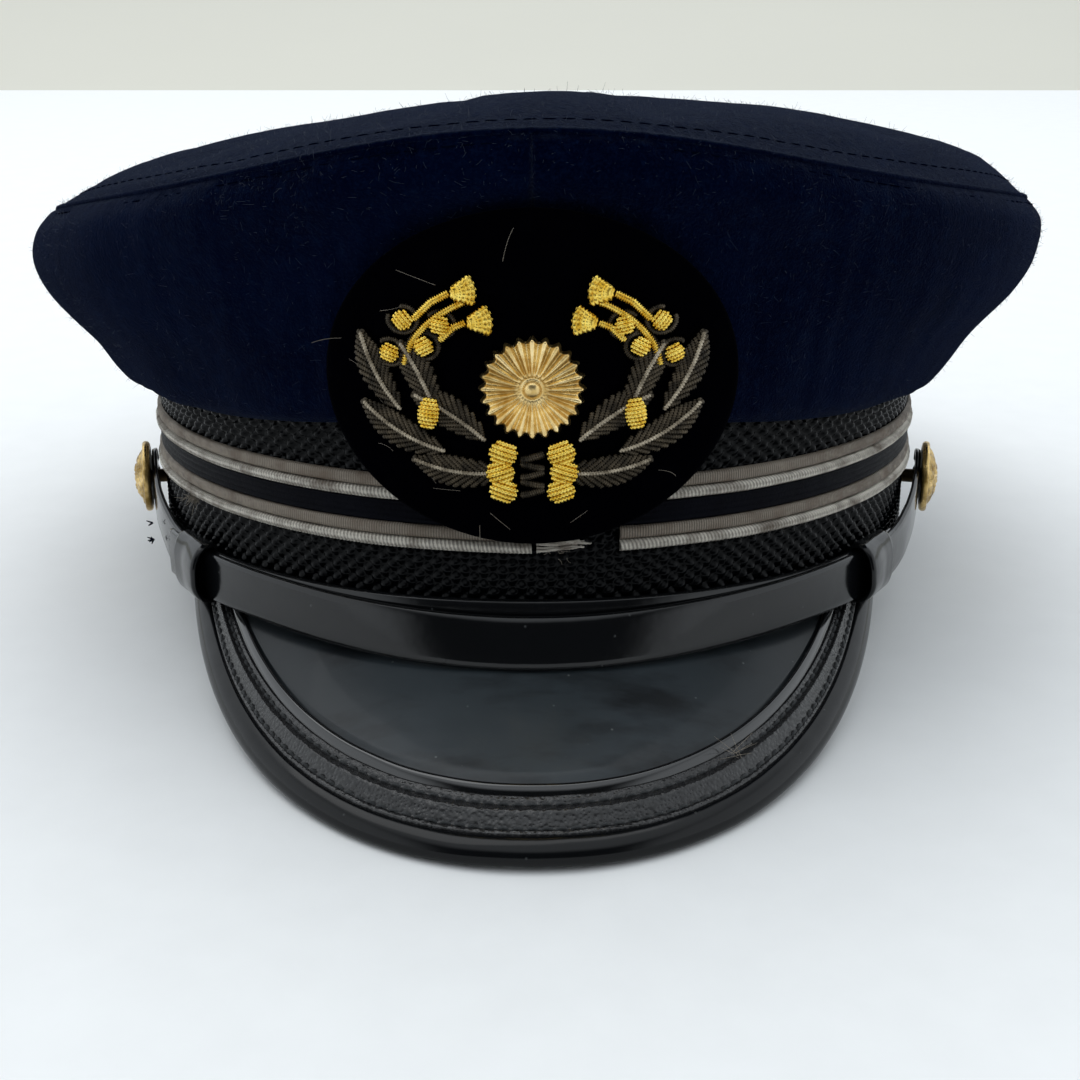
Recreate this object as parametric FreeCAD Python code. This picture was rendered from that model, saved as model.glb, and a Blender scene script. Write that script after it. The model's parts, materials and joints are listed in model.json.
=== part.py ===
import FreeCAD, Part
import json
import math
import os

# Peaked uniform cap, built piece by piece in the band's own frame: X to the right when looking
# at the front of the cap, the front towards -Y, Z up from the band's lower edge. The whole cap is
# then tipped back a little, because at rest it stands on the tip of its visor and on the rear edge
# of its band, and it is written out with its origin on the surface under the middle of its box.
# Lengths are in millimetres.

V = FreeCAD.Vector

# Driving dimensions ---------------------------------------------------------------------------
BAND_HALF_WIDTH = 87.5          # half the band's outer width
BAND_HALF_LENGTH = 107.0        # half the band's outer length, front to back
BAND_HEIGHT = 43.0
FIT_GAP = 0.1                   # air left between neighbouring layers

BRAID_THICKNESS = 1.6
CLOTH_THICKNESS = 1.1
STIFFENER_THICKNESS = 1.5
SWEATBAND_DEPTH = 6.4           # from the band's outside to the sweatband's outside
SWEATBAND_THICKNESS = 1.2
SWEATBAND_BOTTOM = 2.8
SWEATBAND_TOP = 38.0
REED_RADIUS = 1.0

LACE_WIDTH = 4.6                # the two metallic stripes
LACE_THICKNESS = 1.1
LOWER_LACE_HEIGHT = 17.0        # centre of the lower stripe above the band's lower edge
UPPER_LACE_HEIGHT = 25.8
UPPER_LACE_GAP = 28.0           # half the gap in the upper stripe, behind the badge
LOWER_LACE_GAP_END = 15.5       # the lower stripe's gap runs from the middle to here
RIBBON_THICKNESS = 0.7

CROWN_CLOTH = 2.0
TIP_THICKNESS = 2.0
SEAM_HEIGHT = 68.2              # crown seam at the sides
SEAM_SLOPE = 0.08               # the seam rises this much per millimetre towards the front
FRONT_PEAK = 9.3                # extra height of the seam at the middle of the front
FRONT_PEAK_ANGLE = 33.0         # how far round the front that extra height reaches, in degrees
FRONT_FLAT_ANGLE = 45.0         # how far round the front the wall stays upright, in degrees
ROLL_HEIGHT = 32.0              # lowest edge of the crown cloth over the band
ROLL_FRONT_RISE = 7.0
TIP_DOME = 13.5                 # how far the top panel bulges above its seam
# Crown wall section: share of the height from roll to seam, overhang beside, overhang in front
CROWN_SECTION = (
    (0.00, 0.4, 0.4),
    (0.06, 6.7, 1.5),
    (0.26, 12.8, 3.0),
    (0.48, 20.6, 5.5),
    (0.69, 24.4, 9.0),
    (0.87, 23.4, 13.5),
    (1.00, 19.1, 12.5),
)

GROMMET_RADIUS = 1.25
GROMMET_HALF_WIDTH = 105.0
GROMMET_HALF_LENGTH = 119.4
GROMMET_SETBACK = 4.8
GROMMET_HEIGHT = 64.5
GROMMET_SLOPE = 0.11
FERRULE_WALL = 0.7
FERRULE_HALF_ANGLE = 0.09       # radians of the grommet's ellipse to each side

STAY_HALF_WIDTH = 15.0
STAY_TOP = 84.0
PAD_HALF_WIDTH = 26.0
LINING_TOP = 59.8
LINING_THICKNESS = 0.8
SHIELD_HALF_WIDTH = 45.0
SHIELD_HALF_LENGTH = 60.0

VISOR_HALF_WIDTH = 78.0
VISOR_CENTRE_Y = -3.9
VISOR_REACH = 40.5              # how far it stands out in front of the band
VISOR_DROP = 2.2                # visor surface below the band's edge at the middle of the front
VISOR_BACK_Y = -62.5            # the visor ends beside the band here
VISOR_SLOPE = 0.53
VISOR_CAMBER = 0.0049           # fall of the visor's surface per square millimetre sideways
VISOR_SKIN = 1.0
VISOR_CORE = 1.2
VISOR_LINING = 0.6
VISOR_ROOT_GAP = 0.4            # from the band's outside to the visor, seen from above
BINDING_WIDTH = 3.6
BINDING_RISE = 0.4
BINDING_THICKNESS = 3.6
BEAD_HALF_WIDTH = 72.5
BEAD_REACH = 30.5
BEAD_WIDTH = 2.2
BEAD_RISE = 1.2
BORDER_RISE = 0.6

STRAP_WIDTH = 9.0
STRAP_THICKNESS = 1.0
STRAP_CLEARANCE = 1.7           # from the band's outside to the inner strap
STRAP_GAP = 0.2
STRAP_HEIGHT = 2.1              # centre line of the strap round the front
STRAP_BEND_RADIUS = 45.0
STRAP_BEND_ANGLE = math.radians(14.5)
STRAP_END_RADIUS = 6.5
STRAP_HOLE_RADIUS = 2.0
STRAP_TAIL_Y = -58.0            # hidden end of each strap, behind the far keeper
STRAP_SWING = 6.0

KEEPER_LENGTH = 13.0
KEEPER_WALL = 0.7
KEEPER_CLEARANCE = 0.3
KEEPER_Y = -72.0
KEEPER_TRAVEL = 20.0

BUTTON_Y = -28.0
BUTTON_HEIGHT = 9.8
BUTTON_RADIUS = 8.0
BUTTON_DOME = 3.4
BUTTON_SHELL = 0.6
BUTTON_SEAT = 4.2               # from the band's outside to the button's back
BUTTON_BACK_THICKNESS = 0.5
BUTTON_BACK_RADIUS = 7.2
SHANK_RADIUS = 1.5
SHANK_CLEARANCE = 0.1
SHANK_INNER_END = 6.0
PIN_DEPTH = 5.2
PIN_SIZE = (8.0, 1.6, 1.0)

BADGE_HALF_WIDTH = 35.5
BADGE_HALF_HEIGHT = 29.1
BADGE_MIDDLE = 46.7
BADGE_STANDOFF = 2.2
BADGE_LEAN = 0.167
BACKING_THICKNESS = 1.2
VELVET_THICKNESS = 1.3
WREATH_HALF_WIDTH = 24.5
WREATH_HALF_HEIGHT = 17.5
WREATH_MIDDLE = 48.3
LEAF_SIZE = (6.2, 1.9, 1.4)
LEAVES_PER_SIDE = 9
BUD_RADIUS = 2.6
ROSETTE_RADIUS = 8.6
ROSETTE_RAYS = 24
ROSETTE_HEIGHT = 46.1
ROSETTE_THICKNESS = 1.6

SIDES = (("left", -1.0), ("right", 1.0))
PIECES = {}


# Plan shapes ----------------------------------------------------------------------------------
def oval_wire(half_x, half_y, z=0.0, centre_y=0.0):
    """Closed ellipse in plan, whichever of its two axes is the longer."""
    centre = V(0, centre_y, z)
    along_x = V(half_x, centre_y, z)
    along_y = V(0, centre_y + half_y, z)
    if half_x > half_y:
        ellipse = Part.Ellipse(along_x, along_y, centre)
    else:
        ellipse = Part.Ellipse(along_y, along_x, centre)
    return Part.Wire([ellipse.toShape()])


def oval_prism(half_x, half_y, z0, z1, centre_y=0.0):
    face = Part.Face(oval_wire(half_x, half_y, z0, centre_y))
    return face.extrude(V(0, 0, z1 - z0))


def band_prism(outward, z0, z1):
    """Solid oval that stands `outward` beyond the band's outside."""
    return oval_prism(BAND_HALF_WIDTH + outward, BAND_HALF_LENGTH + outward, z0, z1)


def band_shell(inner, outer, z0, z1):
    """Wall that follows the band between two offsets from the band's outside."""
    return band_prism(outer, z0, z1).cut(band_prism(inner, z0, z1))


def band_point(theta, outward, z):
    """Point at an angle round the cap, zero at the front, positive to +X."""
    return V((BAND_HALF_WIDTH + outward) * math.sin(theta),
             -(BAND_HALF_LENGTH + outward) * math.cos(theta), z)


def box(x0, x1, y0, y1, z0, z1):
    return Part.makeBox(x1 - x0, y1 - y0, z1 - z0, V(x0, y0, z0))


def spaced(start, stop, count):
    return [start + (stop - start) * i / (count - 1) for i in range(count)]


def top_slab(height, half_x, y0, y1, below, thickness, grid=17):
    """Slab whose top follows height(x, y), lowered by `below`."""
    rows = [[V(x, y, height(x, y) - below) for y in spaced(y0, y1, grid)]
            for x in spaced(-half_x, half_x, grid)]
    surface = Part.BSplineSurface()
    surface.interpolate(rows)
    return surface.toShape().extrude(V(0, 0, -thickness))


def front_slab(depth, half_x, z0, z1, forward, thickness):
    """Upright slab whose back follows depth(x, z), moved forward, thickness to the front."""
    rows = [[V(x, depth(x, z) - forward, z) for z in spaced(z0, z1, 9)]
            for x in spaced(-half_x, half_x, 13)]
    surface = Part.BSplineSurface()
    surface.interpolate(rows)
    return surface.toShape().extrude(V(0, -thickness, 0))


# Band -----------------------------------------------------------------------------------------
BRAID_INSIDE = -BRAID_THICKNESS
CLOTH_OUTSIDE = BRAID_INSIDE - FIT_GAP
CLOTH_INSIDE = CLOTH_OUTSIDE - CLOTH_THICKNESS
STIFFENER_OUTSIDE = CLOTH_INSIDE - FIT_GAP
STIFFENER_INSIDE = STIFFENER_OUTSIDE - STIFFENER_THICKNESS


def button_place(side):
    """Placement on the band's outside under a button, its own Z pointing outwards."""
    theta = math.acos(-BUTTON_Y / BAND_HALF_LENGTH) * side
    seat = band_point(theta, 0.0, BUTTON_HEIGHT)
    outward = V(seat.x / BAND_HALF_WIDTH ** 2, seat.y / BAND_HALF_LENGTH ** 2, 0)
    outward.normalize()
    return FreeCAD.Placement(seat, FreeCAD.Rotation(V(0, 0, 1), outward))


def along_button(shape, side):
    placed = shape.copy()
    placed.Placement = button_place(side).multiply(shape.Placement)
    return placed


def drill_for_buttons(shape, radius):
    for _, side in SIDES:
        drill = Part.makeCylinder(radius, 40, V(0, 0, -20))
        shape = shape.cut(along_button(drill, side))
    return shape


def make_band():
    shank_hole = SHANK_RADIUS + SHANK_CLEARANCE
    braid = band_shell(BRAID_INSIDE, 0.0, 0.0, BAND_HEIGHT)
    cloth = band_shell(CLOTH_INSIDE, CLOTH_OUTSIDE, 0.3, BAND_HEIGHT - 0.3)
    stiffener = band_shell(STIFFENER_INSIDE, STIFFENER_OUTSIDE, 0.6, BAND_HEIGHT - 0.6)
    PIECES["braid_band"] = drill_for_buttons(braid, shank_hole)
    PIECES["band_cloth"] = drill_for_buttons(cloth, shank_hole)
    PIECES["band_stiffener"] = drill_for_buttons(stiffener, shank_hole)
    PIECES["sweatband"] = band_shell(-SWEATBAND_DEPTH - SWEATBAND_THICKNESS, -SWEATBAND_DEPTH,
                                     SWEATBAND_BOTTOM, SWEATBAND_TOP)
    reed_inset = SWEATBAND_DEPTH + SWEATBAND_THICKNESS / 2
    PIECES["sweatband_reed"] = oval_pipe(BAND_HALF_WIDTH - reed_inset, BAND_HALF_LENGTH - reed_inset,
                                         REED_RADIUS).translated(V(0, 0, REED_RADIUS + 0.4))


def lace(height, width, thickness):
    return band_shell(FIT_GAP, FIT_GAP + thickness, height - width / 2, height + width / 2)


def make_lace():
    front = -BAND_HALF_LENGTH - 10
    upper_gap = box(-UPPER_LACE_GAP, UPPER_LACE_GAP, front, 0, 0, BAND_HEIGHT)
    lower_gap = box(0, LOWER_LACE_GAP_END, front, 0, 0, BAND_HEIGHT)
    ribbon_width = UPPER_LACE_HEIGHT - LOWER_LACE_HEIGHT - LACE_WIDTH - 2 * FIT_GAP
    ribbon_height = (UPPER_LACE_HEIGHT + LOWER_LACE_HEIGHT) / 2
    PIECES["upper_stripe"] = lace(UPPER_LACE_HEIGHT, LACE_WIDTH, LACE_THICKNESS).cut(upper_gap)
    PIECES["lower_stripe"] = lace(LOWER_LACE_HEIGHT, LACE_WIDTH, LACE_THICKNESS).cut(lower_gap)
    PIECES["centre_ribbon"] = lace(ribbon_height, ribbon_width, RIBBON_THICKNESS).cut(upper_gap)


# Rings swept along an oval --------------------------------------------------------------------
def oval_pipe(half_x, half_y, radius, start=0.0, stop=2 * math.pi):
    """Round bar along an oval longer in Y, or along a piece of it; start 0 is at the back."""
    path = Part.Ellipse(V(0, half_y, 0), V(half_x, 0, 0), V(0, 0, 0))
    edge = Part.Edge(path, start, stop)
    at = path.value(start)
    towards = path.tangent(start)[0]
    section = Part.Wire([Part.Circle(at, towards, radius).toShape()])
    return Part.Wire([edge]).makePipeShell([section], True, False)


def lay_grommet(shape):
    """Tilt a ring to the slope of the crown and lift it to its height."""
    slope = FreeCAD.Rotation(V(1, 0, 0), -math.degrees(math.atan(GROMMET_SLOPE)))
    placed = shape.copy()
    placed.Placement = FreeCAD.Placement(V(0, GROMMET_SETBACK, GROMMET_HEIGHT), slope)
    return placed


def make_grommet():
    arc = (-FERRULE_HALF_ANGLE, FERRULE_HALF_ANGLE)
    bore = GROMMET_RADIUS + FIT_GAP
    size = (GROMMET_HALF_WIDTH, GROMMET_HALF_LENGTH)
    tube = oval_pipe(*size, bore + FERRULE_WALL, *arc).cut(oval_pipe(*size, bore, *arc))
    PIECES["grommet_ring"] = lay_grommet(oval_pipe(*size, GROMMET_RADIUS))
    PIECES["grommet_ferrule"] = lay_grommet(tube)


# Crown ----------------------------------------------------------------------------------------
def peak_share(theta):
    return math.exp(-(theta / math.radians(FRONT_PEAK_ANGLE)) ** 2)


def flat_share(theta):
    return math.exp(-(theta / math.radians(FRONT_FLAT_ANGLE)) ** 4)


def seam_height(theta):
    reach = BAND_HALF_LENGTH + CROWN_SECTION[-1][1]
    return SEAM_HEIGHT + SEAM_SLOPE * reach * math.cos(theta) + FRONT_PEAK * peak_share(theta)


def overhang(section_row, theta):
    _, beside, in_front = section_row
    return beside + (in_front - beside) * flat_share(theta)


def crown_section(theta):
    """Closed outline of the crown wall in the upright plane at one angle round the cap."""
    low = ROLL_HEIGHT + ROLL_FRONT_RISE * peak_share(theta)
    rise = seam_height(theta) - low
    outer = [(overhang(row, theta), low + rise * row[0]) for row in CROWN_SECTION]
    inner = []
    for before, here, after in zip(outer[1:], outer[2:], outer[3:] + outer[-1:]):
        run = after[0] - before[0]
        climb = after[1] - before[1]
        length = math.hypot(run, climb)
        inner.append((here[0] - CROWN_CLOTH * climb / length, here[1] + CROWN_CLOTH * run / length))
    over_band = BAND_HEIGHT + 0.2
    outer_points = [band_point(theta, *point) for point in outer]
    inner_points = [band_point(theta, *point) for point in reversed(inner)]
    foot = [
        inner_points[-1],
        band_point(theta, CLOTH_INSIDE, over_band + CROWN_CLOTH),
        band_point(theta, CLOTH_INSIDE, over_band),
        band_point(theta, outer[0][0], over_band),
        outer_points[0],
    ]
    outer_spline = Part.BSplineCurve()
    outer_spline.interpolate(outer_points)
    inner_spline = Part.BSplineCurve()
    inner_spline.interpolate(inner_points)
    foot_lines = [Part.LineSegment(a, b).toShape() for a, b in zip(foot, foot[1:])]
    seam_line = Part.LineSegment(outer_points[-1], inner_points[0]).toShape()
    return Part.Wire([outer_spline.toShape(), seam_line, inner_spline.toShape()] + foot_lines)


def make_quarters():
    quarters = (("front", 0.0, 90.0), ("rear", 90.0, 180.0))
    for place, start, stop in quarters:
        for name, side in SIDES:
            angles = [math.radians(a) * side for a in spaced(start, stop, 7)]
            sections = [crown_section(angle) for angle in angles]
            wall = Part.makeLoft(sections, True, False)
            PIECES["crown_quarter_" + place + "_" + name] = wall


def tip_height(x, y):
    reach_x = BAND_HALF_WIDTH + CROWN_SECTION[-1][1]
    reach_y = BAND_HALF_LENGTH + CROWN_SECTION[-1][1]
    share = math.hypot(x / reach_x, y / reach_y)
    theta = math.atan2(abs(x) / reach_x, -y / reach_y)
    dome = TIP_DOME * (1 - min(share, 1.12) ** 6)
    return SEAM_HEIGHT - SEAM_SLOPE * y + FRONT_PEAK * peak_share(theta) * share + dome


def seam_outline(inset, z):
    points = []
    for angle in range(0, 360, 15):
        theta = math.radians(angle if angle <= 180 else angle - 360)
        points.append(band_point(theta, overhang(CROWN_SECTION[-1], abs(theta)) - inset, z))
    curve = Part.BSplineCurve()
    curve.interpolate(points, True)
    return Part.Wire([curve.toShape()])


def make_tip():
    column = Part.Face(seam_outline(CROWN_CLOTH + FIT_GAP, 0)).extrude(V(0, 0, 120))
    slab = top_slab(tip_height, 112.0, -130.0, 132.0, 0.0, TIP_THICKNESS, 33)
    PIECES["crown_tip"] = slab.common(column)


def make_crown_inside():
    stay = band_shell(STIFFENER_INSIDE, STIFFENER_INSIDE + 0.9, BAND_HEIGHT - 0.4, STAY_TOP)
    pad = band_shell(CLOTH_INSIDE - 0.3, 2.3, 60.0, 79.0)
    behind = -BAND_HALF_LENGTH - 10
    PIECES["front_stay"] = stay.common(box(-STAY_HALF_WIDTH, STAY_HALF_WIDTH, behind, 0, 0, 100))
    PIECES["front_pad"] = pad.common(box(-PAD_HALF_WIDTH, PAD_HALF_WIDTH, behind, 0, 0, 100))


def make_lining():
    outside = -5.6
    top = LINING_TOP + 0.2
    wall = band_shell(outside - LINING_THICKNESS, outside, SWEATBAND_TOP + 0.4, LINING_TOP)
    PIECES["lining_side"] = wall
    PIECES["lining_tip"] = band_prism(outside, top, top + LINING_THICKNESS)
    PIECES["sweat_shield"] = oval_prism(SHIELD_HALF_WIDTH, SHIELD_HALF_LENGTH,
                                        LINING_TOP - 0.8, LINING_TOP - 0.3)


# Visor ----------------------------------------------------------------------------------------
def visor_height(x, y):
    forward = -y - BAND_HALF_LENGTH
    return -VISOR_DROP - VISOR_SLOPE * forward - VISOR_CAMBER * x ** 2


def visor_outline(inset, reach=VISOR_REACH, half_width=VISOR_HALF_WIDTH):
    half_y = BAND_HALF_LENGTH + reach + VISOR_CENTRE_Y
    return oval_prism(half_width - inset, half_y - inset, -120, 60, VISOR_CENTRE_Y)


def visor_layer(below, thickness, plan):
    slab = top_slab(visor_height, 90.0, -160.0, -30.0, below, thickness)
    root = band_prism(VISOR_ROOT_GAP, -120, 60)
    front = box(-100, 100, -170, VISOR_BACK_Y, -120, 60)
    return slab.common(plan).cut(root).common(front)


def make_visor():
    inside = visor_outline(BINDING_WIDTH + FIT_GAP)
    rim = visor_outline(0.0).cut(visor_outline(BINDING_WIDTH))
    bead_plan = visor_outline(0.0, BEAD_REACH, BEAD_HALF_WIDTH)
    bead_hole = visor_outline(BEAD_WIDTH, BEAD_REACH, BEAD_HALF_WIDTH)
    border_hole = visor_outline(-FIT_GAP, BEAD_REACH, BEAD_HALF_WIDTH)
    core_depth = VISOR_SKIN + FIT_GAP
    lining_depth = core_depth + VISOR_CORE + FIT_GAP
    PIECES["visor_skin"] = visor_layer(0.0, VISOR_SKIN, inside)
    PIECES["visor_core"] = visor_layer(core_depth, VISOR_CORE, inside)
    PIECES["visor_lining"] = visor_layer(lining_depth, VISOR_LINING, inside)
    PIECES["visor_binding"] = visor_layer(-BINDING_RISE, BINDING_THICKNESS, rim)
    PIECES["visor_bead"] = visor_layer(-BEAD_RISE, BEAD_RISE - 0.05, bead_plan.cut(bead_hole))
    PIECES["visor_border"] = visor_layer(-BORDER_RISE, BORDER_RISE - 0.05, inside.cut(border_hole))


# Chin strap -----------------------------------------------------------------------------------
def strap_side_view(y_end):
    """Level run of the strap as seen from the side, from the front to y_end."""
    half = STRAP_WIDTH / 2
    return box(-130, 130, -130, y_end, STRAP_HEIGHT - half, STRAP_HEIGHT + half)


def strap_to_button():
    """Side view of the run that climbs to a button: level, a bend, a straight, a round end."""
    half = STRAP_WIDTH / 2
    climb = BUTTON_HEIGHT - STRAP_HEIGHT
    sine = math.sin(STRAP_BEND_ANGLE)
    cosine = math.cos(STRAP_BEND_ANGLE)
    straight = (climb - STRAP_BEND_RADIUS * (1 - cosine)) / sine
    bend_y = BUTTON_Y - straight * cosine - STRAP_BEND_RADIUS * sine
    bend_centre = V(-130, bend_y, STRAP_HEIGHT + STRAP_BEND_RADIUS)
    sweep = math.degrees(STRAP_BEND_ANGLE)
    across = V(1, 0, 0)
    outer = Part.makeCylinder(STRAP_BEND_RADIUS + half, 260, bend_centre, across)
    inner = Part.makeCylinder(STRAP_BEND_RADIUS - half, 260, bend_centre, across)
    wedge = box(-130, 130, bend_y, bend_y + STRAP_BEND_RADIUS * sine, -20, bend_centre.z)
    bend = outer.cut(inner).common(wedge)
    run = box(-130, 130, -straight - 0.5, 0, -half, half)
    run.rotate(V(0, 0, 0), across, sweep)
    run.translate(V(0, BUTTON_Y, BUTTON_HEIGHT))
    end = Part.makeCylinder(STRAP_END_RADIUS, 260, V(-130, BUTTON_Y, BUTTON_HEIGHT), across)
    level = strap_side_view(bend_y + 0.01)
    return level.multiFuse([bend, run, end])


def make_strap(name, inner_face, button_side):
    shell = band_shell(inner_face, inner_face + STRAP_THICKNESS, -20, 40)
    near = (box(0, 130, -140, 140, -20, 40), box(-130, 0, -140, 140, -20, 40))
    button_half, far_half = near if button_side > 0 else reversed(near)
    whole = shell.common(strap_to_button()).common(button_half)
    tail = shell.common(strap_side_view(STRAP_TAIL_Y)).common(far_half)
    hole = along_button(Part.makeCylinder(STRAP_HOLE_RADIUS, 40, V(0, 0, -20)), button_side)
    PIECES[name] = whole.fuse(tail).removeSplitter().cut(hole)


STRAP_OUTER_FACE = STRAP_CLEARANCE + 2 * STRAP_THICKNESS + STRAP_GAP


def keeper_angle(side):
    middle = BAND_HALF_LENGTH + (STRAP_CLEARANCE + STRAP_OUTER_FACE) / 2
    return math.acos(-KEEPER_Y / middle) * side


def make_keeper(name, side):
    inner_clear = STRAP_CLEARANCE - KEEPER_CLEARANCE
    outer_clear = STRAP_OUTER_FACE + KEEPER_CLEARANCE
    half_clear = STRAP_WIDTH / 2 + KEEPER_CLEARANCE
    centre = band_point(keeper_angle(side), (inner_clear + outer_clear) / 2, STRAP_HEIGHT)
    half_x = BAND_HALF_WIDTH + inner_clear
    half_y = BAND_HALF_LENGTH + inner_clear
    heading = math.degrees(math.atan2(centre.x * half_y ** 2, -centre.y * half_x ** 2))
    block = box(-KEEPER_LENGTH / 2, KEEPER_LENGTH / 2, -8, 8,
                -half_clear - KEEPER_WALL, half_clear + KEEPER_WALL)
    block.rotate(V(0, 0, 0), V(0, 0, 1), heading)
    block.translate(centre)
    wall = band_shell(inner_clear - KEEPER_WALL, outer_clear + KEEPER_WALL, -20, 40)
    slot = band_shell(inner_clear, outer_clear, STRAP_HEIGHT - half_clear,
                      STRAP_HEIGHT + half_clear)
    PIECES[name] = block.common(wall).cut(slot)


# Side buttons ---------------------------------------------------------------------------------
def dome_solid(radius, height):
    """Spherical cap standing on Z = 0."""
    sphere_radius = (radius ** 2 + height ** 2) / (2 * height)
    ball = Part.makeSphere(sphere_radius, V(0, 0, height - sphere_radius))
    return ball.common(Part.makeCylinder(radius * 1.1, height))


def make_button(name, side):
    front = BUTTON_SEAT + BUTTON_BACK_THICKNESS
    hollow = dome_solid(BUTTON_RADIUS - BUTTON_SHELL, BUTTON_DOME - BUTTON_SHELL)
    shell = dome_solid(BUTTON_RADIUS, BUTTON_DOME).cut(hollow).translated(V(0, 0, front))
    back = Part.makeCylinder(BUTTON_BACK_RADIUS, BUTTON_BACK_THICKNESS, V(0, 0, BUTTON_SEAT))
    shank = Part.makeCylinder(SHANK_RADIUS, BUTTON_SEAT + SHANK_INNER_END,
                              V(0, 0, -SHANK_INNER_END))
    length, width, thickness = PIN_SIZE
    pin = box(-length / 2, length / 2, -width / 2, width / 2,
              -PIN_DEPTH - thickness / 2, -PIN_DEPTH + thickness / 2)
    PIECES[name + "_dome"] = along_button(shell, side)
    PIECES[name + "_back"] = along_button(back, side)
    PIECES[name + "_shank"] = along_button(shank.cut(pin), side)
    PIECES[name + "_pin"] = along_button(pin, side)


# Badge ----------------------------------------------------------------------------------------
def badge_depth(x, z):
    half_x = BAND_HALF_WIDTH + BADGE_STANDOFF
    half_y = BAND_HALF_LENGTH + BADGE_STANDOFF
    round_front = -half_y * math.sqrt(1 - (x / half_x) ** 2)
    return round_front - BADGE_LEAN * (z - (BADGE_MIDDLE - BADGE_HALF_HEIGHT))


def badge_layer(forward, thickness, margin):
    slab = front_slab(badge_depth, 45.0, 5.0, 90.0, forward, thickness)
    centre = V(0, -200, BADGE_MIDDLE)
    along_x = centre + V(BADGE_HALF_WIDTH - margin, 0, 0)
    along_z = centre + V(0, 0, BADGE_HALF_HEIGHT - margin)
    outline = Part.Wire([Part.Ellipse(along_x, along_z, centre).toShape()])
    return slab.common(Part.Face(outline).extrude(V(0, 150, 0)))


BADGE_FACE = BACKING_THICKNESS + FIT_GAP + VELVET_THICKNESS


def on_badge(shape, x, z, turn=0.0):
    """Lay a shape, built on its XY plane with Z outwards, on the badge's face."""
    step = 0.5
    slope_x = (badge_depth(x + step, z) - badge_depth(x - step, z)) / (2 * step)
    outward = V(slope_x, -1, -BADGE_LEAN)
    outward.normalize()
    sideways = V(1, slope_x, 0)
    sideways.normalize()
    upright = outward.cross(sideways)
    rotation = FreeCAD.Rotation(sideways, upright, outward, "ZXY")
    at = V(x, badge_depth(x, z) - BADGE_FACE - 0.15, z)
    placed = shape.copy()
    placed.rotate(V(0, 0, 0), V(0, 0, 1), turn)
    placed.Placement = FreeCAD.Placement(at, rotation).multiply(placed.Placement)
    return placed


def leaf():
    length, width, thickness = LEAF_SIZE
    outline = Part.Ellipse(V(length, 0, 0), V(0, width, 0), V(0, 0, 0)).toShape()
    return Part.Face(Part.Wire([outline])).extrude(V(0, 0, thickness))


def wreath_point(angle, side):
    """Point on the wreath's oval; angle zero is at the bottom, in degrees up one side."""
    radians = math.radians(angle)
    return (side * WREATH_HALF_WIDTH * math.sin(radians),
            WREATH_MIDDLE - WREATH_HALF_HEIGHT * math.cos(radians))


def make_wreath(name, side):
    leaves = []
    for row in range(LEAVES_PER_SIDE):
        angle = 22.0 + 11.0 * row
        x, z = wreath_point(angle, side)
        splay = 18.0 if row % 2 else -18.0
        leaves.append(on_badge(leaf(), x, z, side * (angle + splay)).translated(
            V(0, -0.02 - (LEAF_SIZE[2] + 0.1) * (row % 2), 0)))
    PIECES["wreath_leaves_" + name] = Part.makeCompound(leaves)
    buds = []
    for angle in (128.0, 141.0, 154.0):
        x, z = wreath_point(angle, side)
        buds.append(on_badge(dome_solid(BUD_RADIUS, BUD_RADIUS * 0.8), x, z))
    PIECES["wreath_buds_" + name] = Part.makeCompound(buds)


def make_rosette():
    tips = []
    for step in range(2 * ROSETTE_RAYS):
        radius = ROSETTE_RADIUS if step % 2 == 0 else ROSETTE_RADIUS * 0.9
        angle = math.pi * step / ROSETTE_RAYS
        tips.append(V(radius * math.cos(angle), radius * math.sin(angle), 0))
    disc = Part.Face(Part.makePolygon(tips + tips[:1])).extrude(V(0, 0, ROSETTE_THICKNESS))
    boss = dome_solid(2.6, 1.0).translated(V(0, 0, ROSETTE_THICKNESS))
    rosette = on_badge(disc.fuse(boss), 0, ROSETTE_HEIGHT)
    leg_depth = BADGE_FACE + 1.0
    legs = []
    for centre in (-4.5, 4.5):
        leg = box(centre - 0.8, centre + 0.8, -0.3, 0.3, -leg_depth, 0)
        legs.append(on_badge(leg, 0, ROSETTE_HEIGHT))
    PIECES["rosette"] = rosette
    PIECES["rosette_prongs"] = Part.makeCompound(legs)


def make_badge():
    make_rosette()
    slots = PIECES["rosette_prongs"]
    PIECES["badge_backing"] = badge_layer(0.0, BACKING_THICKNESS, 1.0).cut(slots)
    velvet = badge_layer(BACKING_THICKNESS + FIT_GAP, VELVET_THICKNESS, 0.0)
    PIECES["badge_velvet"] = velvet.cut(slots)
    for name, side in SIDES:
        make_wreath(name, side)
    knot = dome_solid(3.4, 2.0)
    PIECES["wreath_knot"] = on_badge(knot, 0, WREATH_MIDDLE - WREATH_HALF_HEIGHT)


# Putting the cap on its resting place ---------------------------------------------------------
def lowest(points, tilt):
    return min(point.z * math.cos(tilt) - point.y * math.sin(tilt) for point in points)


def resting_tilt():
    """Backward tilt at which the visor and the band's rear edge touch the surface together."""
    visor = PIECES["visor_binding"].tessellate(0.05)[0]
    band = PIECES["braid_band"].tessellate(0.05)[0]
    low = 0.0
    high = math.radians(15)
    for _ in range(40):
        tilt = (low + high) / 2
        if lowest(visor, tilt) < lowest(band, tilt):
            low = tilt
        else:
            high = tilt
    return low


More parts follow.
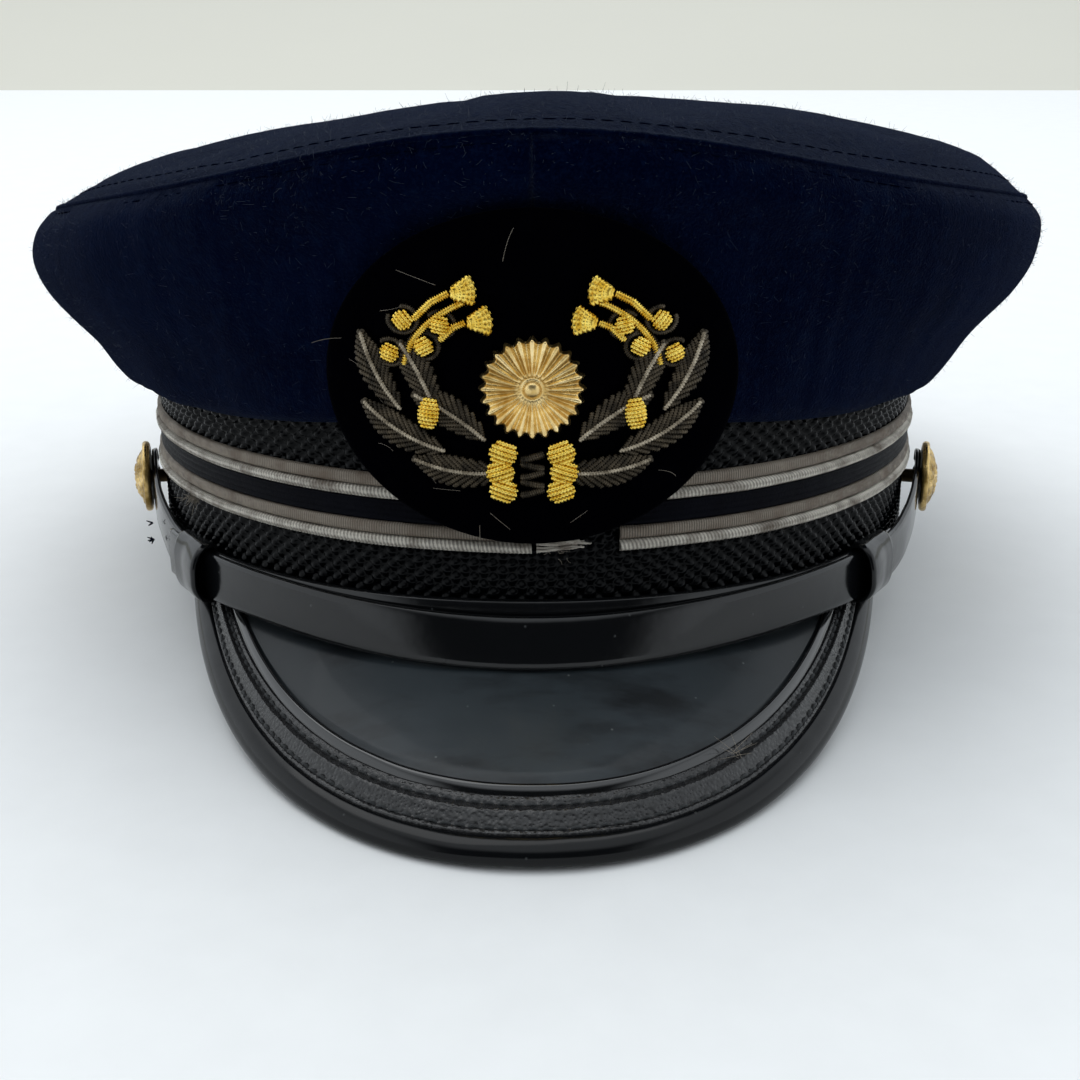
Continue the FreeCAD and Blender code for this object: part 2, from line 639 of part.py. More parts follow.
def resting_place():
    rotation = FreeCAD.Rotation(V(1, 0, 0), -math.degrees(resting_tilt()))
    turn = FreeCAD.Placement(V(0, 0, 0), rotation)
    turned = []
    for shape in PIECES.values():
        points = shape.tessellate(0.05)[0]
        turned.extend(turn.multVec(point) for point in points)
    low_x = min(p.x for p in turned)
    high_x = max(p.x for p in turned)
    low_y = min(p.y for p in turned)
    high_y = max(p.y for p in turned)
    low_z = min(p.z for p in turned)
    shift = V(-(low_x + high_x) / 2, -(low_y + high_y) / 2, -low_z)
    return FreeCAD.Placement(shift, rotation)


def in_metres(vector):
    return [round(vector.x / 1000, 6), round(vector.y / 1000, 6), round(vector.z / 1000, 6)]


def keeper_pivot(side):
    """Centre of curvature of the strap at the middle of a keeper's travel."""
    middle = (STRAP_CLEARANCE + STRAP_OUTER_FACE) / 2
    half_x = BAND_HALF_WIDTH + middle
    half_y = BAND_HALF_LENGTH + middle
    theta = abs(keeper_angle(side))
    speed = math.hypot(half_x * math.cos(theta), half_y * math.sin(theta))
    theta -= KEEPER_TRAVEL / 2 / speed
    spread = half_x ** 2 - half_y ** 2
    radius = math.hypot(half_x * math.cos(theta), half_y * math.sin(theta)) ** 3 / (half_x * half_y)
    centre = V(side * spread / half_x * math.sin(theta) ** 3,
               spread / half_y * math.cos(theta) ** 3, STRAP_HEIGHT)
    return centre, math.degrees(KEEPER_TRAVEL / radius)


def print_joints(place):
    """Joint positions and axes in the resting frame."""
    turn = place.Rotation
    facts = {"tilt_deg": round(math.degrees(turn.Angle), 4), "shift": in_metres(place.Base)}
    strap = place.multVec(V(0, BUTTON_Y, BUTTON_HEIGHT))
    facts["chin_strap_swing"] = {"pos_m": in_metres(strap), "axis": [-1, 0, 0],
                                 "range_deg": [0, STRAP_SWING]}
    for name, side in SIDES:
        centre, travel = keeper_pivot(side)
        axis = turn.multVec(V(0, 0, -side))
        facts["keeper_slide_" + name] = {"pos_m": in_metres(place.multVec(centre)),
                                         "axis": [axis.x, axis.y, axis.z],
                                         "range_deg": [0, round(travel, 2)]}
        seat = button_place(side)
        axis = turn.multVec(seat.Rotation.multVec(V(0, 0, 1)))
        facts["button_spin_" + name] = {"pos_m": in_metres(place.multVec(seat.Base)),
                                        "axis": [axis.x, axis.y, axis.z]}
    rim = V(0, BAND_HALF_LENGTH - BRAID_THICKNESS / 2, 0)
    down = turn.multVec(V(0, 0, -1))
    facts["rim"] = {"pos_m": in_metres(place.multVec(rim)), "axis": [down.x, down.y, down.z]}
    print("JOINTS " + json.dumps(facts))


def main():
    make_band()
    make_lace()
    make_grommet()
    make_quarters()
    make_tip()
    make_crown_inside()
    make_lining()
    make_visor()
    make_strap("strap_inner", STRAP_CLEARANCE, -1.0)
    make_strap("strap_outer", STRAP_CLEARANCE + STRAP_THICKNESS + STRAP_GAP, 1.0)
    for name, side in SIDES:
        make_keeper("keeper_" + name, side)
        make_button("button_" + name, side)
    make_badge()
    place = resting_place()
    os.makedirs("parts", exist_ok=True)
    for name, shape in PIECES.items():
        resting = shape.copy()
        resting.Placement = place.multiply(resting.Placement)
        resting.exportStep("parts/" + name + ".step")
        print(name, "valid" if shape.isValid() else "INVALID", len(shape.Solids), round(shape.Volume))
    print_joints(place)


main()
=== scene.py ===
import json
import math

import bmesh
import bpy
import numpy as np
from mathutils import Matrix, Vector


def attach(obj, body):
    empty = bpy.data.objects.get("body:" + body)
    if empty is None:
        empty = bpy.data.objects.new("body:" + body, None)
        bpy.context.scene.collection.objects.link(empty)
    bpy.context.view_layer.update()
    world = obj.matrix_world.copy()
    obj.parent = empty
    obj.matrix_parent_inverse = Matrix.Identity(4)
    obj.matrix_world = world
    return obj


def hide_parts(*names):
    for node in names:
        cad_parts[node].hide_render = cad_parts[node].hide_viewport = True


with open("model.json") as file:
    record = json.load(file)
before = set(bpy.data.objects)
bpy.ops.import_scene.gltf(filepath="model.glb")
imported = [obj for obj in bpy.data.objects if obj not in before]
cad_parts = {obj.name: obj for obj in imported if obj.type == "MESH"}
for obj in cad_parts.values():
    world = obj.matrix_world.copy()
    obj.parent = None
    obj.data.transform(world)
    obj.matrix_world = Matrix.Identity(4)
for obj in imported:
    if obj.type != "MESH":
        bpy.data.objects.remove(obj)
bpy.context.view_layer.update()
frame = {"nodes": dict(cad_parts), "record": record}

# Peaked uniform cap. Shapes are worked out in the band's own frame, in millimetres: X to the
# right when looking at the front, the front towards -Y, Z up from the band's lower edge. They are
# put into the row frame, in metres, by in_row(), which takes the band's place from the record.

PI = math.pi
MM = 0.001

# Sizes shared with the CAD model, in millimetres
BAND_X, BAND_Y, BAND_HEIGHT = 87.5, 107.0, 43.0
BRAID_MIDDLE_INSET = 0.8
LACE_WIDTH = 4.6
LOWER_LACE, UPPER_LACE = 17.0, 25.8
UPPER_GAP = 22.0
RIBBON_GAP = 16.0
LOWER_GAP = 15.5
SEAM_HEIGHT, SEAM_SLOPE = 68.2, 0.08
FRONT_PEAK, PEAK_ANGLE, FLAT_ANGLE = 9.3, math.radians(33), math.radians(45)
ROLL_HEIGHT, ROLL_RISE = 32.0, 7.0
TIP_DOME = 15.0
SETTLING_CAP = 2.5
CLOTH = 1.3
CROWN_SECTION = np.array((
    (0.00, 0.6, 0.6), (0.06, 6.7, 1.7), (0.26, 12.8, 3.2), (0.48, 20.6, 5.5),
    (0.69, 24.4, 9.0), (0.87, 23.4, 13.5), (1.00, 19.1, 12.5)))
VISOR_Y, VISOR_DROP, VISOR_SLOPE, VISOR_CAMBER = -3.9, 2.2, 0.53, 0.0049
VISOR_EDGE = (77.3, 2.12, 40.3)
VISOR_BEAD = (71.9, 2.08, 30.3)
VISOR_SPREAD = math.radians(68.6)
ROOT_SPREAD = math.radians(55.3)
BINDING = 3.6
BUTTON_Y, BUTTON_Z = -28.0, 9.8
KEEPER_Y = -72.0
STRAP_Z = 1.1
BADGE_X, BADGE_Z, BADGE_MIDDLE = 35.5, 29.1, 46.7
BADGE_STANDOFF, BADGE_LEAN = 2.2, 0.167
BADGE_FACE = 2.6
WREATH_X, WREATH_Z, WREATH_MIDDLE = 24.5, 17.5, 48.3
ROSETTE_Z, ROSETTE_RADIUS, ROSETTE_RAYS = 46.1, 8.6, 24

RIM = next(m for m in frame["record"]["mounts"] if m["name"] == "head_rim")
UP = -np.array(RIM["axis"])
UP /= np.linalg.norm(UP)
BACK = np.array((0.0, UP[2], -UP[1]))
ORIGIN = np.array(RIM["pos_m"]) - BACK * (BAND_Y - BRAID_MIDDLE_INSET) * MM
SIDES = (("left", -1.0), ("right", 1.0))


# Points and meshes ----------------------------------------------------------------------------
def in_row(points):
    """Band frame in millimetres to row frame in metres."""
    p = np.asarray(points, float) * MM
    turned = p[..., 1:2] * BACK + p[..., 2:3] * UP
    turned[..., 0] = p[..., 0]
    return turned + ORIGIN


def unit(v):
    return v / np.maximum(np.linalg.norm(v, axis=-1, keepdims=True), 1e-12)


def stack(*parts):
    return np.stack(np.broadcast_arrays(*parts), -1).astype(float)


def smooth(t):
    t = np.clip(t, 0.0, 1.0)
    return t * t * (3 - 2 * t)


LATTICE = np.random.default_rng(3).random((32, 32, 32))


def cloud(points, size):
    """Value noise from -1 to 1 on points, with lumps of about that size."""
    p = np.asarray(points, float) / size
    base = np.floor(p).astype(int)
    t = smooth(p - base)
    total = 0.0
    for dx in (0, 1):
        for dy in (0, 1):
            for dz in (0, 1):
                corner = LATTICE[(base[..., 0] + dx) % 32, (base[..., 1] + dy) % 32,
                                 (base[..., 2] + dz) % 32]
                weight = (np.where(dx, t[..., 0], 1 - t[..., 0])
                          * np.where(dy, t[..., 1], 1 - t[..., 1])
                          * np.where(dz, t[..., 2], 1 - t[..., 2]))
                total = total + corner * weight
    return 2 * total - 1


def grid_faces(rows, cols, closed_u, closed_v):
    i = np.arange(rows if closed_u else rows - 1)[:, None]
    j = np.arange(cols if closed_v else cols - 1)[None, :]
    i2, j2 = (i + 1) % rows, (j + 1) % cols
    corners = (i * cols + j, i2 * cols + j, i2 * cols + j2, i * cols + j2)
    return np.stack(np.broadcast_arrays(*corners), -1).reshape(-1, 4)


class Heap:
    """Gathers grids of points into one mesh, in the row frame."""

    def __init__(self):
        self.points, self.faces, self.uvs, self.count = [], [], [], 0

    def grid(self, points, closed_u=False, closed_v=False, caps=False, uv=None, flip=False):
        rows, cols = points.shape[:2]
        faces = grid_faces(rows, cols, closed_u, closed_v)
        if uv is None:
            uv = np.arange(rows + 1.0), np.arange(cols + 1.0)
        i = np.arange(rows if closed_u else rows - 1)[:, None]
        j = np.arange(cols if closed_v else cols - 1)[None, :]
        u, v = (np.asarray(a, float) for a in uv)
        corner_uv = [stack(u[i + a], v[j + b]) for a, b in ((0, 0), (1, 0), (1, 1), (0, 1))]
        corner_uv = np.stack(corner_uv, 2).reshape(-1, 4, 2)
        if flip:
            faces, corner_uv = faces[:, ::-1], corner_uv[:, ::-1]
        self.points.append(points.reshape(-1, 3))
        self.faces += (faces + self.count).tolist()
        self.uvs.append(corner_uv.reshape(-1, 2))
        if caps:
            first = np.arange(cols)[::-1] + self.count
            last = np.arange(cols) + (rows - 1) * cols + self.count
            for ring in (first, last):
                self.faces.append((ring[::-1] if flip else ring).tolist())
                self.uvs.append(np.zeros((cols, 2)))
        self.count += rows * cols
        return self

    def build(self, name, material, body="cap", slot=None, replaces=(), weld=False):
        """Makes the piece with the material named; slot is not used."""
        mesh = bpy.data.meshes.new(name)
        mesh.from_pydata(in_row(np.concatenate(self.points)).tolist(), [], self.faces)
        layer = mesh.uv_layers.new(name="pattern")
        layer.data.foreach_set("uv", np.concatenate(self.uvs).astype(np.float32).ravel())
        if weld:
            bm = bmesh.new()
            bm.from_mesh(mesh)
            bmesh.ops.remove_doubles(bm, verts=bm.verts, dist=2e-6)
            bmesh.ops.dissolve_degenerate(bm, edges=bm.edges, dist=1e-7)
            bm.to_mesh(mesh)
            bm.free()
        mesh.shade_smooth()
        mesh.update()
        obj = bpy.data.objects.new(name, mesh)
        bpy.context.scene.collection.objects.link(obj)
        obj.data.materials.append(MATERIAL[material])
        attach(obj, body)
        if replaces:
            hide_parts(*replaces)
        return obj


def outward_check(obj):
    """Turn the faces of a closed piece to look outwards."""
    bm = bmesh.new()
    bm.from_mesh(obj.data)
    bmesh.ops.recalc_face_normals(bm, faces=bm.faces)
    bm.to_mesh(obj.data)
    bm.free()
    return obj


def tube_grid(path, radius, sides=8, up=(0.0, 0.0, 1.0), pitch=None, depth=0.16):
    """Round bar round a path; with a pitch it looks like a tight coil of wire."""
    path = np.asarray(path, float)
    along = unit(np.gradient(path, axis=0))
    side = unit(np.cross(along, np.asarray(up, float)))
    top = np.cross(side, along)
    angle = np.arange(sides) * 2 * PI / sides
    r = np.broadcast_to(np.asarray(radius, float), (len(path),))[:, None] * np.ones(sides)
    if pitch:
        run = np.concatenate(([0.0], np.cumsum(np.linalg.norm(np.diff(path, axis=0), axis=1))))
        r = r * (1 + depth * np.cos(2 * PI * run[:, None] / pitch - angle))
    ring = np.cos(angle)[None, :, None] * side[:, None] + np.sin(angle)[None, :, None] * top[:, None]
    return path[:, None] + r[..., None] * ring


def round_ends(count, share):
    """Radius factors along a path that closes roundly at both ends."""
    t = np.linspace(0.0, 1.0, count)
    near = np.minimum(t, 1 - t) / share
    return np.sqrt(np.clip(1 - (1 - np.clip(near, 0, 1)) ** 2, 0.02, 1))


def rounded_box(width, height, corner, steps=5):
    """Section outline with round corners, counter-clockwise."""
    angle = np.linspace(0, PI / 2, steps)
    points = []
    for quarter in range(4):
        sx = (1, -1, -1, 1)[quarter]
        sy = (1, 1, -1, -1)[quarter]
        a = angle + quarter * PI / 2
        points.append(stack(sx * (width / 2 - corner) + corner * np.cos(a),
                            sy * (height / 2 - corner) + corner * np.sin(a)))
    return np.concatenate(points)


# Band curves ----------------------------------------------------------------------------------
def band_at(theta, outward, z):
    return stack((BAND_X + outward) * np.sin(theta), -(BAND_Y + outward) * np.cos(theta), z)


def outward_at(theta):
    return unit(stack(np.sin(theta) * BAND_Y, -np.cos(theta) * BAND_X, 0.0 * np.asarray(theta)))


def band_run(theta):
    """Distance round the band from the front, for evenly sized patterns."""
    fine = np.linspace(-PI, PI, 4001)
    speed = np.hypot(BAND_X * np.cos(fine), BAND_Y * np.sin(fine))
    run = np.concatenate(([0.0], np.cumsum((speed[1:] + speed[:-1]) / 2 * np.diff(fine))))
    return np.interp(theta, fine, run - run[2000])


def full_turn(theta):
    """Distances of angles all round the band, closed by the distance to the back."""
    return np.append(band_run(theta), band_run(PI))

def even_angles(start, stop, step):
    """Angles from start to stop, evenly spaced along the band."""
    fine = np.linspace(-PI, PI, 4001)
    run = band_run(fine)
    low, high = band_run(start), band_run(stop)
    count = max(3, int(abs(high - low) / step) + 1)
    return np.interp(np.linspace(low, high, count), run, fine)


def angle_of_y(y, half_y=BAND_Y):
    return math.acos(-y / half_y)


# Materials ------------------------------------------------------------------------------------
def add_node(tree, kind, inputs=None, **props):
    """Adds a shader node; an input is a value or another node's socket."""
    node = tree.nodes.new("ShaderNode" + kind)
    for key, value in props.items():
        setattr(node, key, value)
    for key, value in (inputs or {}).items():
        if isinstance(value, bpy.types.NodeSocket):
            tree.links.new(value, node.inputs[key])
        else:
            node.inputs[key].default_value = value
    return node

class Surface:
    """One material's node tree, with short names for the nodes that it uses."""

    def __init__(self, name, **settings):
        self.material = bpy.data.materials.new(name)
        self.material.use_nodes = True
        self.tree = self.material.node_tree
        self.shader = self.tree.nodes["Principled BSDF"]
        for key, value in settings.items():
            self.shader.inputs[key.replace("_", " ")].default_value = value
        at = self.add("TexCoord").outputs["Object"]
        self.at = self.add("VectorMath", {0: at, "Scale": 1000.0}, operation="SCALE").outputs[0]
        self.pattern = self.add("UVMap", uv_map="pattern").outputs["UV"]

    def add(self, kind, inputs=None, **props):
        return add_node(self.tree, kind, inputs, **props)

    def noise(self, size, detail=3.0, roughness=0.55, vector=None, stretch=None):
        vector = self.at if vector is None else vector
        if stretch:
            vector = self.add("VectorMath", {0: vector, 1: stretch}, operation="MULTIPLY").outputs[0]
        return self.add("TexNoise", {"Vector": vector, "Scale": 1.0 / size, "Detail": detail,
                                     "Roughness": roughness}).outputs["Fac"]

    def spots(self, size, feature="F1"):
        return self.add("TexVoronoi", {"Vector": self.at, "Scale": 1.0 / size},
                        feature=feature).outputs["Distance"]

    def ramp(self, value, *stops):
        node = self.add("ValToRGB", {"Fac": value})
        elements = node.color_ramp.elements
        while len(elements) < len(stops):
            elements.new(0.5)
        for element, (place, colour) in zip(elements, stops):
            element.position = place
            grey = isinstance(colour, (int, float))
            element.color = (colour, colour, colour, 1) if grey else (*colour, 1)
        return node.outputs["Color"]

    def math(self, operation, a, b=0.0, c=0.0):
        return self.add("Math", {0: a, 1: b, 2: c}, operation=operation).outputs[0]

    def mix(self, share, a, b):
        node = self.add("Mix", data_type="RGBA")
        for key, value in ((0, share), (6, a), (7, b)):
            if isinstance(value, bpy.types.NodeSocket):
                self.tree.links.new(value, node.inputs[key])
            elif key:
                node.inputs[key].default_value = (*value, 1)
            else:
                node.inputs[key].default_value = value
        return node.outputs[2]

    def colour(self, value):
        self.tree.links.new(value, self.shader.inputs["Base Color"])
        return self

    def rough(self, value):
        self.tree.links.new(value, self.shader.inputs["Roughness"])
        return self

    def bump(self, height, distance_mm, strength=1.0):
        node = self.add("Bump", {"Height": height, "Distance": distance_mm * MM,
                                 "Strength": strength})
        previous = self.shader.inputs["Normal"].links
        if previous:
            self.tree.links.new(previous[0].from_socket, node.inputs["Normal"])
        self.tree.links.new(node.outputs["Normal"], self.shader.inputs["Normal"])
        return self


def wool(name):
    s = Surface(name, Sheen_Weight=0.085, Sheen_Roughness=0.30, Sheen_Tint=(0.52, 0.62, 0.88, 1),
                Specular_IOR_Level=0.0)
    tone = s.noise(9.0, 4.0)
    fibre = s.noise(0.55, 4.0, 0.75)
    felt = s.noise(2.4, 5.0, 0.7)
    lines = s.noise(0.9, 2.0, vector=s.pattern, stretch=(1.0, 0.09, 1.0))
    patches = s.noise(26.0, 4.0)
    base = s.mix(tone, (0.0001, 0.0006, 0.0055), (0.0003, 0.0013, 0.0100))
    base = s.mix(s.ramp(patches, (0.45, 0.0), (0.7, 0.6)), base, (0.0008, 0.0030, 0.0160))
    base = s.mix(s.ramp(lines, (0.55, 0.0), (0.8, 0.10)), base, (0.0030, 0.0090, 0.0300))
    base = s.mix(s.ramp(felt, (0.50, 0.0), (0.72, 0.55)), base, (0.0022, 0.0064, 0.0230))
    base = s.mix(s.ramp(fibre, (0.48, 0.0), (0.72, 0.50)), base, (0.0035, 0.0095, 0.0330))
    # Upward faces made lighter: partly settled dust, partly painted light from the ceiling falling on the
    # top.
    upward = s.add("SeparateXYZ", {0: s.add("NewGeometry").outputs["Normal"]}).outputs[2]
    top_light_and_dust = s.math("MULTIPLY", s.ramp(upward, (0.45, 0.0), (0.95, 1.0)),
                          s.ramp(s.noise(1.3, 5.0, 0.75), (0.35, 0.25), (0.65, 1.0)))
    base = s.mix(s.math("MULTIPLY", top_light_and_dust, 0.75), base, (0.0170, 0.0210, 0.0310))
    lint = s.ramp(s.spots(3.4), (0.0, 1.0), (0.05, 0.0))
    base = s.mix(s.math("MULTIPLY", lint, 0.35), base, (0.09, 0.11, 0.14))
    s.colour(base).rough(s.ramp(fibre, (0.2, 0.75), (0.8, 0.95)))
    s.bump(lines, 0.10, 0.7).bump(fibre, 0.50, 0.9)
    return s.material


def braid(name):
    s = Surface(name, Specular_IOR_Level=0.075)
    strand = s.noise(0.22, 2.0, 0.6)
    dust = s.noise(14.0, 5.0)
    base = s.mix(strand, (0.0002, 0.0003, 0.0005), (0.0012, 0.0015, 0.0022))
    base = s.mix(s.ramp(dust, (0.55, 0.0), (0.85, 0.3)), base, (0.005, 0.006, 0.006))
    s.colour(base).rough(s.ramp(strand, (0.2, 0.10), (0.8, 0.20)))
    s.bump(strand, 0.05, 0.5)
    return s.material


def lace(name, dark, light, pitch, slant, first):
    """Metal-thread lace: ribs across its length, painted shade in the groove at its first rows, worn
    patches.
    """
    s = Surface(name, Metallic=0.2, Specular_IOR_Level=0.3)
    thread = s.noise(0.25, 2.0, 0.6)
    worn = s.noise(6.0, 5.0, 0.6)
    along, row = s.add("SeparateXYZ", {0: s.pattern}).outputs[:2]
    phase = s.math("MULTIPLY_ADD", along, 2 * PI / pitch, s.math("MULTIPLY", row, slant))
    phase = s.math("MULTIPLY_ADD", thread, 1.6, phase)
    ribs = s.math("MULTIPLY_ADD", s.math("SINE", phase), 0.35, 0.5)
    base = s.mix(s.math("MULTIPLY_ADD", thread, 0.3, s.math("MULTIPLY", ribs, 0.75)), dark, light)
    base = s.mix(s.ramp(worn, (0.46, 0.0), (0.72, 0.9)), base, (0.105, 0.076, 0.054))
    # Darker at the first rows, down in the groove beside the cord: painted shade in the groove.
    groove = s.ramp(s.math("DIVIDE", row, 12.0), (first / 12, 1.0), ((first + 1.1) / 12, 0.0))
    base = s.mix(s.math("MULTIPLY", groove, 0.85), base, (0.020, 0.014, 0.009))
    s.colour(base).rough(s.ramp(worn, (0.2, 0.38), (0.8, 0.62)))
    s.bump(thread, 0.12, 0.9)
    return s.material


def ribbon(name):
    s = Surface(name, Specular_IOR_Level=0.03)
    rib = s.noise(0.5, 2.0, vector=s.pattern, stretch=(1.0, 0.1, 1.0))
    s.colour(s.mix(s.noise(5.0), (0.0006, 0.0007, 0.0016), (0.0022, 0.0026, 0.0055)))
    s.rough(s.ramp(rib, (0.2, 0.38), (0.8, 0.6))).bump(rib, 0.15, 0.8)
    return s.material


def patent(name, gloss, specks, wave, level, coat, haze=None):
    """Patent leather; with a haze it takes a pale dull tone, thinner towards its sides and left off in a
    dark band under the strap, which is painted reflection of the strap.
    """
    s = Surface(name, Specular_IOR_Level=level, Coat_Weight=coat, Coat_Roughness=0.05)
    cloudiness = s.noise(22.0, 4.0)
    fine = s.noise(1.6, 3.0)
    speck = s.ramp(s.spots(4.2), (0.0, 1.0), (0.07, 0.0))
    scuff = s.ramp(s.noise(2.4, 6.0, 0.75, stretch=(0.35, 1.0, 1.0)), (0.66, 0.0), (0.78, 1.0))
    base = s.mix(cloudiness, (0.0015, 0.0017, 0.0020), (0.0040, 0.0045, 0.0055))
    if haze:
        # The haze is left off a band near the visor's root, under the strap, so the dark base there is
        # painted reflection of the strap; the haze also thins towards the sides.
        across = s.add("SeparateXYZ", {0: s.pattern}).outputs[1]
        aside = s.math("ABSOLUTE", s.add("SeparateXYZ", {0: s.at}).outputs[0])
        aside = s.math("DIVIDE", aside, 100.0)
        place = s.math("MULTIPLY_ADD", s.noise(9.0, 5.0, 0.6), 6.0, across)
        place = s.math("MULTIPLY_ADD", s.ramp(aside, (0.07, 0.0), (0.20, 1.0)), -12.0, place)
        haze_outside_strap_reflection = s.ramp(s.math("DIVIDE", place, 70.0), (haze[0], 0.0), (haze[1], 1.0))
        streaks = s.ramp(s.noise(15.0, 5.0, 0.6, stretch=(0.35, 1.0, 1.0)), (0.36, 0.25), (0.50, 1.0))
        haze_outside_strap_reflection = s.math("MULTIPLY", haze_outside_strap_reflection, streaks)
        haze_outside_strap_reflection = s.math("MULTIPLY", haze_outside_strap_reflection, s.ramp(aside, (0.22, 1.0), (0.52, 0.35)))
        dull = s.mix(s.noise(16.0, 5.0, 0.6), (0.016, 0.022, 0.026), (0.033, 0.041, 0.047))
        base = s.mix(haze_outside_strap_reflection, base, dull)
    base = s.mix(s.math("MULTIPLY", speck, specks), base, (0.14, 0.15, 0.15))
    base = s.mix(s.math("MULTIPLY", scuff, 0.05 * specks), base, (0.16, 0.16, 0.155))
    worn = s.math("MULTIPLY_ADD", s.math("ADD", speck, scuff), 0.18, gloss)
    s.colour(base).rough(s.math("MULTIPLY_ADD", fine, 0.05, worn))
    s.bump(cloudiness, wave, 0.6).bump(speck, 0.05, 0.6)
    return s.material


def grained(name, tones, size=0.7, rough=(0.45, 0.7), depth=0.18, dust=0.25, dust_tone=(0.12, 0.11, 0.10)):
    """Leather or leathercloth: cell grain with painted shade in its creases, dusty in patches."""
    s = Surface(name, Specular_IOR_Level=0.45)
    cells = s.spots(size, feature="SMOOTH_F1")
    patches = s.noise(7.0, 6.0, 0.65)
    # Darker where the cells meet, at the grain's creases: painted shade.
    base = s.mix(s.ramp(cells, (0.1, 1.0), (0.75, 0.0)), *tones)
    base = s.mix(s.math("MULTIPLY", s.ramp(patches, (0.5, 0.0), (0.75, 1.0)), dust), base, dust_tone)
    s.colour(base).rough(s.ramp(cells, (0.1, rough[0]), (0.8, rough[1])))
    s.bump(cells, depth, 0.8).bump(s.noise(0.2, 2.0), 0.05, 0.6)
    return s.material


def metal(name, tones, rough=(0.22, 0.42), size=0.8, metallic=1.0, depth=0.06):
    s = Surface(name, Metallic=metallic)
    tarnish = s.noise(size * 4, 5.0, 0.6)
    fine = s.noise(size * 0.3, 3.0)
    s.colour(s.mix(s.ramp(tarnish, (0.35, 0.0), (0.7, 1.0)), *tones))
    s.rough(s.ramp(tarnish, (0.3, rough[1]), (0.7, rough[0]))).bump(fine, depth, 0.7)
    return s.material


def woven(name, tones, size=0.5, rough=(0.6, 0.85), sheen=0.1, depth=0.12, level=0.25):
    """Plain weave seen close: crossing threads and a slow change of tone."""
    s = Surface(name, Sheen_Weight=sheen, Specular_IOR_Level=level)
    warp = s.noise(size, 2.0, stretch=(1.0, 0.12, 0.12))
    weft = s.noise(size, 2.0, stretch=(0.12, 1.0, 1.0))
    threads = s.math("ADD", warp, weft)
    s.colour(s.mix(s.math("MULTIPLY", threads, s.noise(12.0, 3.0)), *tones))
    s.rough(s.ramp(warp, (0.3, rough[0]), (0.7, rough[1]))).bump(threads, depth, 0.8)
    return s.material


def velvet(name):
    s = Surface(name, Sheen_Weight=0.01, Sheen_Roughness=0.3, Specular_IOR_Level=0.0)
    pile = s.noise(0.3, 3.0, 0.7)
    crushed = s.noise(6.0, 4.0)
    base = s.mix(pile, (0.0002, 0.0002, 0.0006), (0.0006, 0.0006, 0.0014))
    s.colour(s.mix(s.ramp(crushed, (0.55, 0.0), (0.8, 0.3)), base, (0.0015, 0.0015, 0.0025)))
    s.rough(s.ramp(pile, (0.2, 0.85), (0.8, 1.0))).bump(pile, 0.3, 0.8)
    return s.material


def clear_vinyl(name):
    s = Surface(name, Transmission_Weight=0.6, IOR=1.4, Specular_IOR_Level=0.5)
    haze = s.noise(8.0, 4.0)
    s.colour(s.mix(haze, (0.75, 0.75, 0.72), (0.9, 0.9, 0.88)))
    s.rough(s.ramp(haze, (0.3, 0.18), (0.7, 0.4))).bump(haze, 0.3, 0.4)
    return s.material


